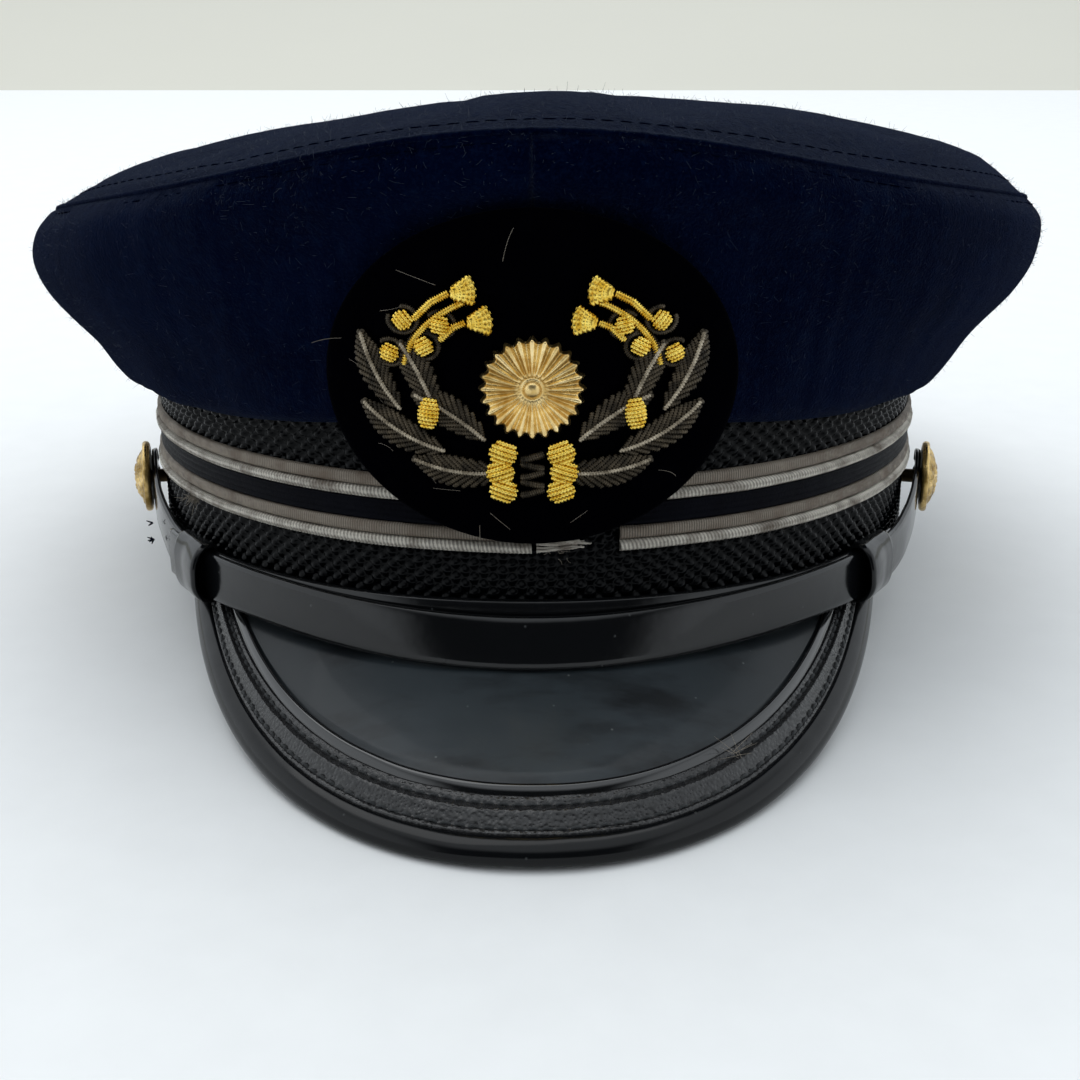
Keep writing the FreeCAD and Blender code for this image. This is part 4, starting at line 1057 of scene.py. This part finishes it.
def strap_height(y):
    """Height of the strap's centre line, seen from the side: level, a bend, then up to a button."""
    sine, cosine = math.sin(BEND_ANGLE), math.cos(BEND_ANGLE)
    straight = (BUTTON_Z - STRAP_Z - BEND_RADIUS * (1 - cosine)) / sine
    bend_y = BUTTON_Y - straight * cosine - BEND_RADIUS * sine
    along = np.clip((y - bend_y) / (BEND_RADIUS * sine), 0, 1) * sine
    arc = BEND_RADIUS * (1 - np.sqrt(1 - along ** 2))
    rest = np.maximum(y - bend_y - BEND_RADIUS * sine, 0) * math.tan(BEND_ANGLE)
    return STRAP_Z + arc + rest


def strap_frame(theta, outer, level_only=False):
    """Centre line of a strap layer with its outward and upward axes; it leans out in front."""
    front = smooth(1 - np.abs(theta) / math.radians(40.0))
    near_button = smooth((np.abs(theta) - math.radians(62)) / math.radians(10))
    offset = 3.4 + 2.4 * front if outer else 2.3 + 0.2 * front + 0.2 * near_button
    lean = np.radians(15.0 * front if outer else 5.0 * front)
    drop = -1.6 * front if outer else 0.5 * front
    y = -(BAND_Y + offset) * np.cos(theta)
    z = np.full_like(y, STRAP_Z) if level_only else strap_height(y)
    wave = 0.22 * cloud(stack(band_run(theta), 0 * y, 9.0 * outer + 0 * y), 27.0)
    centre = band_at(theta, offset + wave, z + drop)
    along = unit(np.gradient(centre, axis=0))
    out = outward_at(theta)
    out = unit(out - np.sum(out * along, -1, keepdims=True) * along)
    top = np.cross(out, along)
    top *= np.sign(top[:, 2:3])
    c, s = np.cos(lean)[:, None], np.sin(lean)[:, None]
    return centre, out * c + top * s, top * c - out * s


def strap_layer(outer, button_side):
    """One layer: from its button round the front, through the far keeper to a hidden tail."""
    tail = angle_of_y(STRAP_TAIL_Y) * -button_side
    button = angle_of_y(BUTTON_Y)
    past = END_RADIUS * 0.985 / BAND_Y
    near = even_angles(0.0, (button + past) * button_side, 0.9)
    far = even_angles(tail, 0.0, 0.9)[:-1]
    theta = np.concatenate((far, near))
    centre_far = strap_frame(theta, outer, level_only=True)
    centre_near = strap_frame(theta, outer)
    is_near = (theta * button_side > 0)[:, None]
    centre, out, top = (np.where(is_near, a, b) for a, b in zip(centre_near, centre_far))
    run = band_run(theta) * button_side
    to_button = band_run(button) - run
    half = np.full_like(run, STRAP_WIDE / 2)
    swell = np.sqrt(np.clip(END_RADIUS ** 2 - to_button ** 2, 0.02, None))
    half = np.where(to_button < 0, swell, np.where(to_button < END_RADIUS,
                                                   np.maximum(half, swell), half))
    corner = rounded_box(STRAP_THICK, 2.0, 0.42, 6)
    face = np.linspace(-0.58, 0.58, 9)[1:-1]
    section = np.concatenate((corner[:12], stack(-STRAP_THICK / 2, face[::-1]), corner[12:],
                              stack(STRAP_THICK / 2, face)))
    flat = section[:, 1]
    reach = np.where(np.abs(flat) >= 0.58, half[:, None] - 1 + np.abs(flat),
                     (half[:, None] - 0.42) * np.abs(flat) / 0.58)
    points = (centre[:, None] + section[None, :, :1] * out[:, None]
              + (np.sign(flat) * reach)[..., None] * top[:, None])
    bulge = -0.55 * (flat / 1.0) ** 2
    points = points + bulge[None, :, None] * out[:, None]
    crease = 0.10 * cloud(points, 5.0) * smooth((np.abs(theta) - 0.7) / 0.4)[:, None]
    points = points + crease[..., None] * out[:, None]
    return Heap().grid(points, False, True, True, uv=(np.append(run, 0), np.arange(len(section) + 1.0)))


def make_straps():
    for name, outer, side in (("strap_inner", False, -1.0), ("strap_outer", True, 1.0)):
        heap = strap_layer(outer, side)
        outward_check(heap.build(name + "_patent", "strap_patent", "chin_strap",
                                 "strap_patent", [name]))


KEEPER_LONG, KEEPER_WALL = 13.0, 0.75


def make_keeper(name, side):
    """Loose loop of patent leather round both strap layers, open towards the front."""
    middle = angle_of_y(KEEPER_Y, BAND_Y + 2.8) * side
    lengthwise = np.concatenate((np.linspace(-1, 1, 22), np.linspace(1, -1, 12)))
    wall = np.concatenate((np.full(22, KEEPER_WALL), np.zeros(12)))
    rim = np.where(np.abs(lengthwise) > 0.93, 0.5, 1.0)
    ring = rounded_box(2.0, 2.0, 0.80, 9)
    run = lengthwise * KEEPER_LONG / 2
    theta = middle - side * run / math.hypot(BAND_X * math.cos(middle), BAND_Y * math.sin(middle))
    flare = 1.3 * smooth((lengthwise + 0.35) / 1.35)
    squeeze = 0.35 * np.exp(-((lengthwise + 0.9) / 0.5) ** 2)
    rows = []
    for across, upward in ring:
        thick = wall * rim
        deep = np.where(across > 0, 2.5 + flare - squeeze, 1.75) + thick
        tall = STRAP_WIDE / 2 + (0.85 if upward > 0 else 0.4) - 0.25 * np.maximum(across, 0) + thick
        out = 2.8 + across * deep
        z = STRAP_Z + 0.15 + upward * tall - 0.4 * np.maximum(across, 0) * upward
        rows.append(band_at(theta, out, z))
    points = np.stack(rows)
    points = points + 0.10 * cloud(points, 4.0)[..., None] * outward_at(np.array([middle]))
    heap = Heap().grid(points, True, True)
    obj = heap.build(name + "_loop", "keeper_patent", "slide_" + name.split("_")[1],
                     "strap_patent", [name])
    return outward_check(obj)


# Side buttons ---------------------------------------------------------------------------------
def lathe(heap, seat, axes, shape, base, relief=None):
    """Turned shape round an outward axis from rows of (radius, height)."""
    across, out = axes
    angle = np.linspace(0, 2 * PI, 120, endpoint=False)[:, None]
    r, h = shape[:, 0][None, :], shape[:, 1][None, :] + base
    flat = stack(r * np.cos(angle), r * np.sin(angle), h)
    height = h + (relief(flat, r) if relief else 0.0)
    points = seat + (flat[..., :1] * across + flat[..., 1:2] * np.array((0, 0, 1.0))
                     + np.broadcast_to(height, flat.shape[:2])[..., None] * out)
    heap.grid(points, True, False)


def make_button(name, side):
    """Pebbled dome with a plain raised rim, over a plain back plate."""
    middle = angle_of_y(BUTTON_Y) * side
    seat = band_at(middle, 0.0, BUTTON_Z)
    out = outward_at(middle)
    axes = unit(np.cross(np.array((0.0, 0.0, 1.0)), out)), out
    base = 4.15 if side > 0 else 3.4
    profile = [(0.01 + 7.0 * t, 3.55 - 2.35 * t ** 2.1) for t in np.linspace(0, 1, 34)]
    profile += [(7.1, 1.25), (7.25, 1.5), (7.5, 1.62), (7.8, 1.5), (7.98, 1.15), (8.0, 0.7),
                (7.85, 0.3), (7.5, 0.05), (7.0, -0.05), (6.9, 0.1), (6.9, 0.5)]
    inner = [(6.85 * t, 2.5 - 1.9 * t * t) for t in np.linspace(1, 0.002, 10)]

    def pebbled(flat, r):
        domed = (np.arange(len(profile) + len(inner)) < 33)[None, :] * smooth((7.0 - r) / 0.6)
        return domed * (0.60 * np.sqrt(np.abs(cloud(flat * (1, 1, 0.4), 0.85))) - 0.2)

    shell, plate = Heap(), Heap()
    lathe(shell, seat, axes, np.array(profile + inner), base, pebbled)
    outward_check(shell.build(name + "_shell", "button_shell", "side_" + name,
                              "gilt_metal", [name + "_dome"], weld=True))
    # The back plate takes the brass darkened to near black, painted shade behind the button.
    disc = [(0.01, 0.0), (2.0, 0.0), (2.2, 0.12), (5.6, 0.12), (5.9, 0.0), (6.6, 0.0), (6.8, 0.15),
            (6.75, 0.4), (6.4, 0.45), (0.01, 0.45)]
    lathe(plate, seat, axes, np.array(disc), base + 0.02)
    outward_check(plate.build(name + "_plate", "button_brass", "side_" + name,
                              "button_brass", [name + "_back"], weld=True))


# Badge ----------------------------------------------------------------------------------------
def badge_y(x, z):
    round_front = -(BAND_Y + BADGE_STANDOFF) * np.sqrt(1 - (x / (BAND_X + BADGE_STANDOFF)) ** 2)
    return round_front - BADGE_LEAN * (z - (BADGE_MIDDLE - BADGE_Z))


def on_badge(flat):
    """Puts points of (x, height over the face, z) on the badge's face."""
    flat = np.asarray(flat, float)
    x, h, z = flat[..., 0], flat[..., 1], flat[..., 2]
    return stack(x, badge_y(x, z) - BADGE_FACE - h, z)


def make_velvet():
    angle = np.linspace(0, 2 * PI, 260, endpoint=False)[:, None]
    share = np.concatenate((np.linspace(0, 1, 60) ** 0.8, np.linspace(1, 0, 12)))[None, :]
    top = (np.arange(72) < 60)[None, :]
    x = BADGE_X * share * np.sin(angle)
    z = BADGE_MIDDLE - BADGE_Z * share * np.cos(angle)
    pad = 0.55 * (1 - share ** 10) ** 0.5
    nap = 0.10 * cloud(stack(x, 0 * x, z), 1.1) + 0.16 * cloud(stack(x, 3 + 0 * x, z), 7.0)
    height = np.where(top, pad + nap * smooth((1 - share) / 0.05) - 0.75, -1.6)
    heap = Heap().grid(on_badge(stack(x, height, z)), True, False)
    obj = heap.build("badge_velvet_pad", "badge_velvet",
                     replaces=["badge_velvet"], weld=True)
    hairs = Heap()
    rng = np.random.default_rng(41)
    for _ in range(14):
        a = rng.uniform(0, 2 * PI)
        r = rng.uniform(0.72, 0.97)
        start = np.array((BADGE_X * r * math.sin(a), 0.0, BADGE_MIDDLE - BADGE_Z * r * math.cos(a)))
        t = np.linspace(0, 1, 10)[:, None]
        heading = rng.normal(0, 1, 3) * (1, 0.0, 0.7)
        path = start + unit(heading) * t * rng.uniform(2.0, 6.0) + rng.normal(0, 1.2, 3) * t * t
        path[:, 1] = 0.15 + 0.35 * np.sin(3 * t[:, 0])
        hairs.grid(tube_grid(on_badge(path), 0.03, 4, up=(0.1, 1.0, 0.1)), False, True, True)
    hairs.build("badge_stray_fibres", "pale_fibre", slot="badge_velvet")
    outward_check(obj)


def purl(heap, flat, radius, pitch=0.36, sides=8):
    """Coiled bullion wire along points of (x, height, z) on the badge."""
    flat = np.asarray(flat, float)
    steps = max(8, int(np.linalg.norm(np.diff(flat, axis=0), axis=1).sum() / (pitch / 4)))
    place = np.linspace(0, len(flat) - 1, steps)
    fine = np.stack([np.interp(place, np.arange(len(flat)), flat[:, k]) for k in range(3)], -1)
    fine[:, 1] += radius
    grid = tube_grid(fine, radius * round_ends(steps, 0.3 / max(1.0, steps / 14)), sides,
                     up=(0.0, 1.0, 0.0), pitch=pitch, depth=0.24)
    heap.grid(on_badge(grid), False, True, True)


def leaf(blades, ribs, base, heading, length, width, side, curl=0.0, height=0.0):
    """Leaf of slanting bullion wires on both sides of a lighter rib."""
    t = np.linspace(0, 1, 14)
    turn = heading + curl * t
    step = length / 13
    x = base[0] + np.concatenate(([0.0], np.cumsum(np.sin(turn[:-1]) * step))) * side
    z = base[1] + np.concatenate(([0.0], np.cumsum(np.cos(turn[:-1]) * step)))
    spine = stack(x, height + 0.55 + 0 * x, z)
    count = max(6, int(length / 1.2))
    for k in range(count):
        share = (k + 0.6) / count
        reach = width * math.sin(PI * min(1.0, share * 0.93 + 0.07) ** 0.75) + 0.35
        at = np.array([np.interp(share * 13, np.arange(14), spine[:, c]) for c in range(3)])
        ahead = heading + curl * share
        for flank in (-1.0, 1.0):
            slant = ahead + flank * math.radians(38)
            tip = at + np.array((math.sin(slant) * side, 0.0, math.cos(slant))) * reach * 1.25
            bow = (at + tip) / 2 + np.array((0.0, 0.42, 0.0))
            s = np.linspace(0, 1, 6)[:, None]
            path = (1 - s) ** 2 * at + 2 * s * (1 - s) * bow + s ** 2 * tip
            path[:, 1] -= 0.45 * s[:, 0]
            purl(blades, path, 0.47, 0.44, 7)
    rib = spine.copy()
    rib[:, 1] += 0.5
    purl(ribs, rib, 0.42, 0.52, 8)


def bud(heap, base, heading, side, size=1.0, lobes=5, height=0.3):
    """Tassel-like bud: fat short wires fanned out from one point."""
    for k in range(lobes):
        fan = heading + math.radians(58) * (k / (lobes - 1) - 0.5)
        for layer, reach in ((0.0, 1.0), (0.8, 0.62)):
            t = np.linspace(0.15, 1, 6)[:, None]
            ahead = np.array((math.sin(fan) * side, 0.0, math.cos(fan)))
            path = np.array((base[0], height + layer, base[1])) + ahead * t * 3.9 * size * reach
            path[:, 1] += 0.7 * np.sin(PI * t[:, 0])
            purl(heap, path, 0.66 * size, 0.62, 9)


def berry(heap, base, size, turn=0.0, rows=6, height=0.35):
    """Oval berry of wires laid side by side, higher in the middle."""
    c, s = math.cos(turn), math.sin(turn)
    for k in range(rows):
        place = (k + 0.5) / rows * 2 - 1
        half = size[0] * math.sqrt(1 - (0.85 * place) ** 2)
        t = np.linspace(-1, 1, 8)
        along, over = half * t, size[1] * place
        x = base[0] + along * c - over * s
        z = base[1] + along * s + over * c
        rise = height + 0.9 * (1 - place * place) * (1 - 0.7 * t * t)
        purl(heap, stack(x, rise, z), size[1] / rows * 1.2, 0.58, 8)


def wreath_at(angle, side, inset=0.0):
    a = math.radians(angle)
    return np.array((side * (WREATH_X - inset) * math.sin(a),
                     WREATH_MIDDLE - (WREATH_Z - inset) * math.cos(a)))


def wreath_heading(angle):
    """Direction of the wreath's stem at an angle, from straight up, turning outwards positive."""
    a = math.radians(angle)
    return math.atan2(WREATH_X * math.cos(a), WREATH_Z * math.sin(a))


LEAVES = (
    # angle on the wreath, inset, turn from its heading, length, half width, curl
    (10, 0.6, 0.30, 16.5, 3.3, -0.60),
    (24, 5.2, -0.42, 14.5, 3.4, 0.34),
    (38, 0.6, 0.26, 16.5, 3.3, -0.60),
    (57, 5.2, -0.42, 13.5, 3.0, 0.28),
    (68, 0.6, 0.18, 15.0, 3.0, -0.52),
)


def make_wreath(name, side):
    blades, ribs, gold = Heap(), Heap(), Heap()
    for k, (angle, inset, turn, length, width, curl) in enumerate(LEAVES):
        heading = wreath_heading(angle) + turn
        leaf(blades, ribs, wreath_at(angle, side, inset), heading, length, width, side, curl,
             0.12 * (k % 2))
    stem = [wreath_at(a, side, 3.0) for a in np.linspace(96, 150, 24)]
    purl(gold, np.array([(x, 0.5, z) for x, z in stem]), 0.62, 0.42)
    for angle, inset in ((158, 0.6), (156, 6.2)):
        base = wreath_at(angle - 12, side, inset)
        bud(gold, base, -PI / 2 + 0.12, side, 1.12)
        foot = wreath_at(angle - 34, side, inset + 0.2)
        middle = (foot + base) / 2 + (0, 0.7)
        stalk = [(x, rise, z) for (x, z), rise in ((foot, 0.5), (middle, 0.6), (base, 0.7))]
        purl(gold, stalk, 0.66, 0.42)
    for angle, inset, turn in ((102, 0.2, 0.4), (113, 5.0, -0.5), (121, -0.4, 0.9), (131, 4.4, 0.2)):
        spot = wreath_at(angle, side, inset)
        berry(gold, spot, (1.75, 1.5), turn * side, 5, 0.9)
        hood = np.linspace(0.15 * PI, 1.85 * PI, 16) + turn
        ring = stack(spot[0] + 2.5 * np.cos(hood) * side, 0.3 + 0 * hood,
                     spot[1] + 2.2 * np.sin(hood))
        purl(blades, ring, 0.45, 0.34)
    berry(gold, wreath_at(60, side, 4.4), (1.9, 2.7), 0.12 * side, 8, 1.5)
    for k in range(3):
        foot = np.array((side * (4.9 + 0.5 * (k % 2)), WREATH_MIDDLE - WREATH_Z - 2.6 + 3.4 * k))
        berry(gold, foot, (2.5, 2.0), 0.35 * side * (1 - 2 * (k % 2)), 5, 1.2)
    outward_check(blades.build("wreath_blades_" + name, "bullion_dark", replaces=["wreath_leaves_" + name]))
    outward_check(ribs.build("wreath_ribs_" + name, "bullion_rib", slot="bullion_dark"))
    outward_check(gold.build("wreath_gold_" + name, "bullion_gold", replaces=["wreath_buds_" + name]))


def make_knot():
    heap = Heap()
    for k in range(5):
        z = WREATH_MIDDLE - WREATH_Z - 3.0 + 1.6 * k
        t = np.linspace(-1, 1, 8)
        purl(heap, stack(2.0 * t, 0.9 - 0.5 * t * t, z + 0.5 * t * (-1) ** k), 0.62, 0.36)
    outward_check(heap.build("wreath_tie", "bullion_dark",
                             replaces=["wreath_knot"]))


def make_rosette():
    """Round stamped rosette: plain radial flutes about a small boss."""
    angle = np.linspace(0, 2 * PI, ROSETTE_RAYS * 12, endpoint=False)[:, None]
    share = np.concatenate((np.linspace(0.002, 1, 46), np.linspace(1, 0.01, 6)))[None, :]
    top = (np.arange(52) < 46)[None, :]
    flute = np.cos(ROSETTE_RAYS * angle)
    reach = ROSETTE_RADIUS * share * (1 + 0.055 * flute * smooth((share - 0.7) / 0.3))
    swell = 0.95 * (0.5 + 0.5 * flute) ** 0.8 * smooth((share - 0.2) / 0.25)
    cone = 1.55 - 0.75 * share + swell * (0.4 + 0.6 * share)
    boss = 0.75 * np.sqrt(np.clip(1 - (share / 0.17) ** 2, 0, 1)) - 0.35 * np.exp(
        -((share - 0.22) / 0.05) ** 2)
    rim = 1 - smooth((share - 0.93) / 0.07) * 0.85
    height = np.where(top, (cone + boss) * rim, 0.05)
    points = stack(reach * np.sin(angle), height, ROSETTE_Z + reach * np.cos(angle))
    heap = Heap().grid(on_badge(points), True, False)
    outward_check(heap.build("rosette_fluted", "gilt_metal",
                             replaces=["rosette"], weld=True))


# Inside ---------------------------------------------------------------------------------------
def ring_wall(name, inside, outside, low, high, relief, material, node, step=1.5, rows=40):
    """Wall round the inside of the band; relief moves its inner face."""
    theta = even_angles(-PI, PI, step)[:-1]
    z = np.linspace(low, high, rows)
    t, h = np.meshgrid(theta, z, indexing="ij")
    face = band_at(t, inside + relief(t, h), h)
    tb, hb = np.meshgrid(theta, np.array((high, low)), indexing="ij")
    back = band_at(tb, outside + 0 * tb, hb)
    points = np.concatenate((face, back), 1)
    runs = full_turn(theta)
    heap = Heap().grid(points, True, True, uv=(runs, np.arange(points.shape[1] + 1.0)))
    return outward_check(heap.build(name, material, replaces=[node]))


def make_inside():
    def leather(t, h):
        run = band_run(t)
        return (0.35 * cloud(stack(run, h, 0 * h), 30.0) + 0.10 * cloud(stack(run, h, 0 * h), 7.0)
                + 0.3 * np.exp(-((h - 5.4) / 0.5) ** 2))

    ring_wall("sweatband_leather", -7.5, -6.5, 2.8, 38.0, leather, "sweatband_leather", "sweatband")

    def gathered(t, h):
        run = band_run(t)
        return 0.45 * cloud(stack(run * 0.8, h * 0.12, 0 * h), 3.0) + 0.3 * cloud(
            stack(run, h, 2 + 0 * h), 14.0)

    side = ring_wall("lining_side_satin", -6.7, -5.7, 38.4, 60.2, gathered, "lining_satin",
                     "lining_side", 1.2, 26)
    theta = even_angles(-PI, PI, 1.6)[:-1]
    share = np.linspace(1, 0.001, 60)
    flat = band_at(theta, -5.7, 0.0)[:, None] * share[None, :, None]
    run = band_run(theta)[:, None]
    puckers = 0.5 * np.cos(2 * PI * run / 7.0 + 2 * cloud(stack(run, 0 * run, 0 * run), 20.0))
    droop = -0.7 + puckers * smooth((share - 0.86) / 0.12)[None, :] * 0.7
    flat[..., 2] = 60.3 + droop + 0.35 * cloud(flat, 19.0)
    top = flat[:, ::-1].copy()
    top[..., 2] = 60.9
    heap = Heap().grid(np.concatenate((flat, top), 1), True, True)
    tip = outward_check(heap.build("lining_tip_satin", "lining_satin", replaces=["lining_tip"], weld=True))
    reed_stitches = Heap()
    line_angles = even_angles(-PI, PI, 1.0)
    line = band_at(line_angles, -7.75, 4.6)
    stitch_row(reed_stitches, line, -outward_at(line_angles), 2.4, 1.1, 0.2, 0.2)
    reed_stitches.build("sweatband_stitches", "pale_fibre", slot="sweatband_leather")
    make_front_pad()


def make_front_pad():
    """Felt pad that fills the front of the crown, rounded towards its edges."""
    theta = even_angles(-0.292, 0.292, 0.9)
    z = np.linspace(60.3, 78.7, 40)
    t, h = np.meshgrid(theta, z, indexing="ij")
    across = 1 - np.abs(t / 0.292) ** 6
    upward = 1 - np.abs((h - 69.5) / 9.2) ** 6
    full = np.clip(across * upward, 0.0, 1.0) ** 0.5
    felt = 0.12 * cloud(stack(band_run(t), h, 0 * h), 2.0)
    outer = band_at(t, 0.9 + (1.3 + felt) * full, h)
    inner = band_at(t, 0.7 - (1.5 + felt) * full, h)[:, ::-1]
    heap = Heap().grid(np.concatenate((outer, inner), 1), False, True, True)
    return outward_check(heap.build("front_pad_felt", "felt_pad",
                                    replaces=["front_pad"]))


# Everything that shows the record's own solids ---------------------------------------------
def finish_cad_nodes():
    for part in frame["record"]["subparts"]:
        node = frame["nodes"][part["node"]]
        for slot in node.material_slots:
            slot.material = MATERIAL[part["material_slot"]]


# Stage, light and camera ------------------------------------------------------------------------
CAMERA_AT = (1.29, -363.4, 91.3)
CAMERA_PITCH = 16.14
TABLE_EDGE_Y = 1.12
ROOM_BRIGHT, ROOM_DIM = 1.22, 0.045


def plain(name, tone, size):
    """Matt paint, faintly mottled."""
    s = Surface(name)
    mottle = s.noise(size, 4.0)
    s.colour(s.mix(mottle, tuple(0.93 * c for c in tone), tone))
    s.rough(s.ramp(mottle, (0.0, 0.6), (1.0, 0.7)))
    return s.material

def stage_plane(name, corners, material):
    mesh = bpy.data.meshes.new(name)
    mesh.from_pydata(corners, [], [(0, 1, 2, 3)])
    mesh.uv_layers.new(name="pattern")
    obj = bpy.data.objects.new(name, mesh)
    obj.data.materials.append(material)
    bpy.context.scene.collection.objects.link(obj)


def area_light(name, at, target, size, energy):
    light = bpy.data.lights.new(name, "AREA")
    light.shape = "RECTANGLE"
    light.size, light.size_y = size
    light.energy = energy
    obj = bpy.data.objects.new(name, light)
    bpy.context.scene.collection.objects.link(obj)
    obj.location = at
    obj.rotation_euler = (Vector(target) - Vector(at)).to_track_quat("-Z", "Y").to_euler()


def make_stage():
    z = -0.0003
    table = [(-3, -3, z), (3, -3, z), (3, TABLE_EDGE_Y, z), (-3, TABLE_EDGE_Y, z)]
    wall = [(-4, TABLE_EDGE_Y, z), (4, TABLE_EDGE_Y, z),
            (4, TABLE_EDGE_Y + 3.2, 0.9), (-4, TABLE_EDGE_Y + 3.2, 0.9)]
    stage_plane("table", table, plain("table_top", (0.80, 0.81, 0.81), 12.0))
    stage_plane("wall", wall, plain("wall_paint", (0.63, 0.615, 0.54), 300.0))
    make_room_light()


def make_room_light():
    """Pale room: bright ceiling, far wall and sides, and a dim side behind the camera."""
    world = bpy.data.worlds.new("soft_room")
    bpy.context.scene.world = world
    world.use_nodes = True
    tree = world.node_tree

    heading = add_node(tree, "TexCoord").outputs["Generated"]
    x, y, z = add_node(tree, "SeparateXYZ", {0: heading}).outputs

    def step(value, low, high):
        return add_node(tree, "MapRange", {"Value": value, "From Min": low, "From Max": high},
                        interpolation_type="SMOOTHSTEP").outputs[0]

    def math_node(operation, *values):
        return add_node(tree, "Math", dict(enumerate(values)), operation=operation).outputs[0]

    sideways = math_node("ABSOLUTE", x)
    bright = math_node("MAXIMUM", step(z, 0.55, 0.85), step(sideways, 0.5, 0.8))
    bright = math_node("MAXIMUM", bright, step(y, -0.1, 0.5))
    level = math_node("MULTIPLY_ADD", bright, ROOM_BRIGHT, ROOM_DIM)
    background = tree.nodes["Background"]
    background.inputs["Color"].default_value = (0.90, 0.955, 1.0, 1)
    tree.links.new(level, background.inputs["Strength"])
    area_light("ceiling_panel", (-0.3, 0.5, 1.6), (0, 0, 0.03), (1.8, 1.4), 11.0)


def set_view():
    """Plain display curve, so that tones on screen are the tones of the light."""
    view = bpy.context.scene.view_settings
    view.view_transform = "Standard"
    view.look = "None"


def make_camera():
    data = bpy.data.cameras.new("camera")
    data.lens, data.sensor_width, data.sensor_fit = 50.0, 36.0, "AUTO"
    data.clip_start, data.clip_end = 0.01, 20.0
    obj = bpy.data.objects.new("camera", data)
    obj.location = in_row(CAMERA_AT)
    tilt = math.degrees(math.atan2(UP[1], UP[2]))
    obj.rotation_euler = (math.radians(90 - CAMERA_PITCH - tilt), 0.0, 0.0)
    bpy.context.scene.collection.objects.link(obj)
    bpy.context.scene.camera = obj


def main():
    finish_cad_nodes()
    make_braid()
    make_lace()
    make_ribbon()
    make_frayed_ends()
    make_crown()
    make_visor()
    make_straps()
    for name, side in SIDES:
        make_keeper("keeper_" + name, side)
        make_button("button_" + name, side)
        make_wreath(name, side)
    make_velvet()
    make_knot()
    make_rosette()
    make_inside()
    make_stage()
    set_view()
    make_camera()


main()
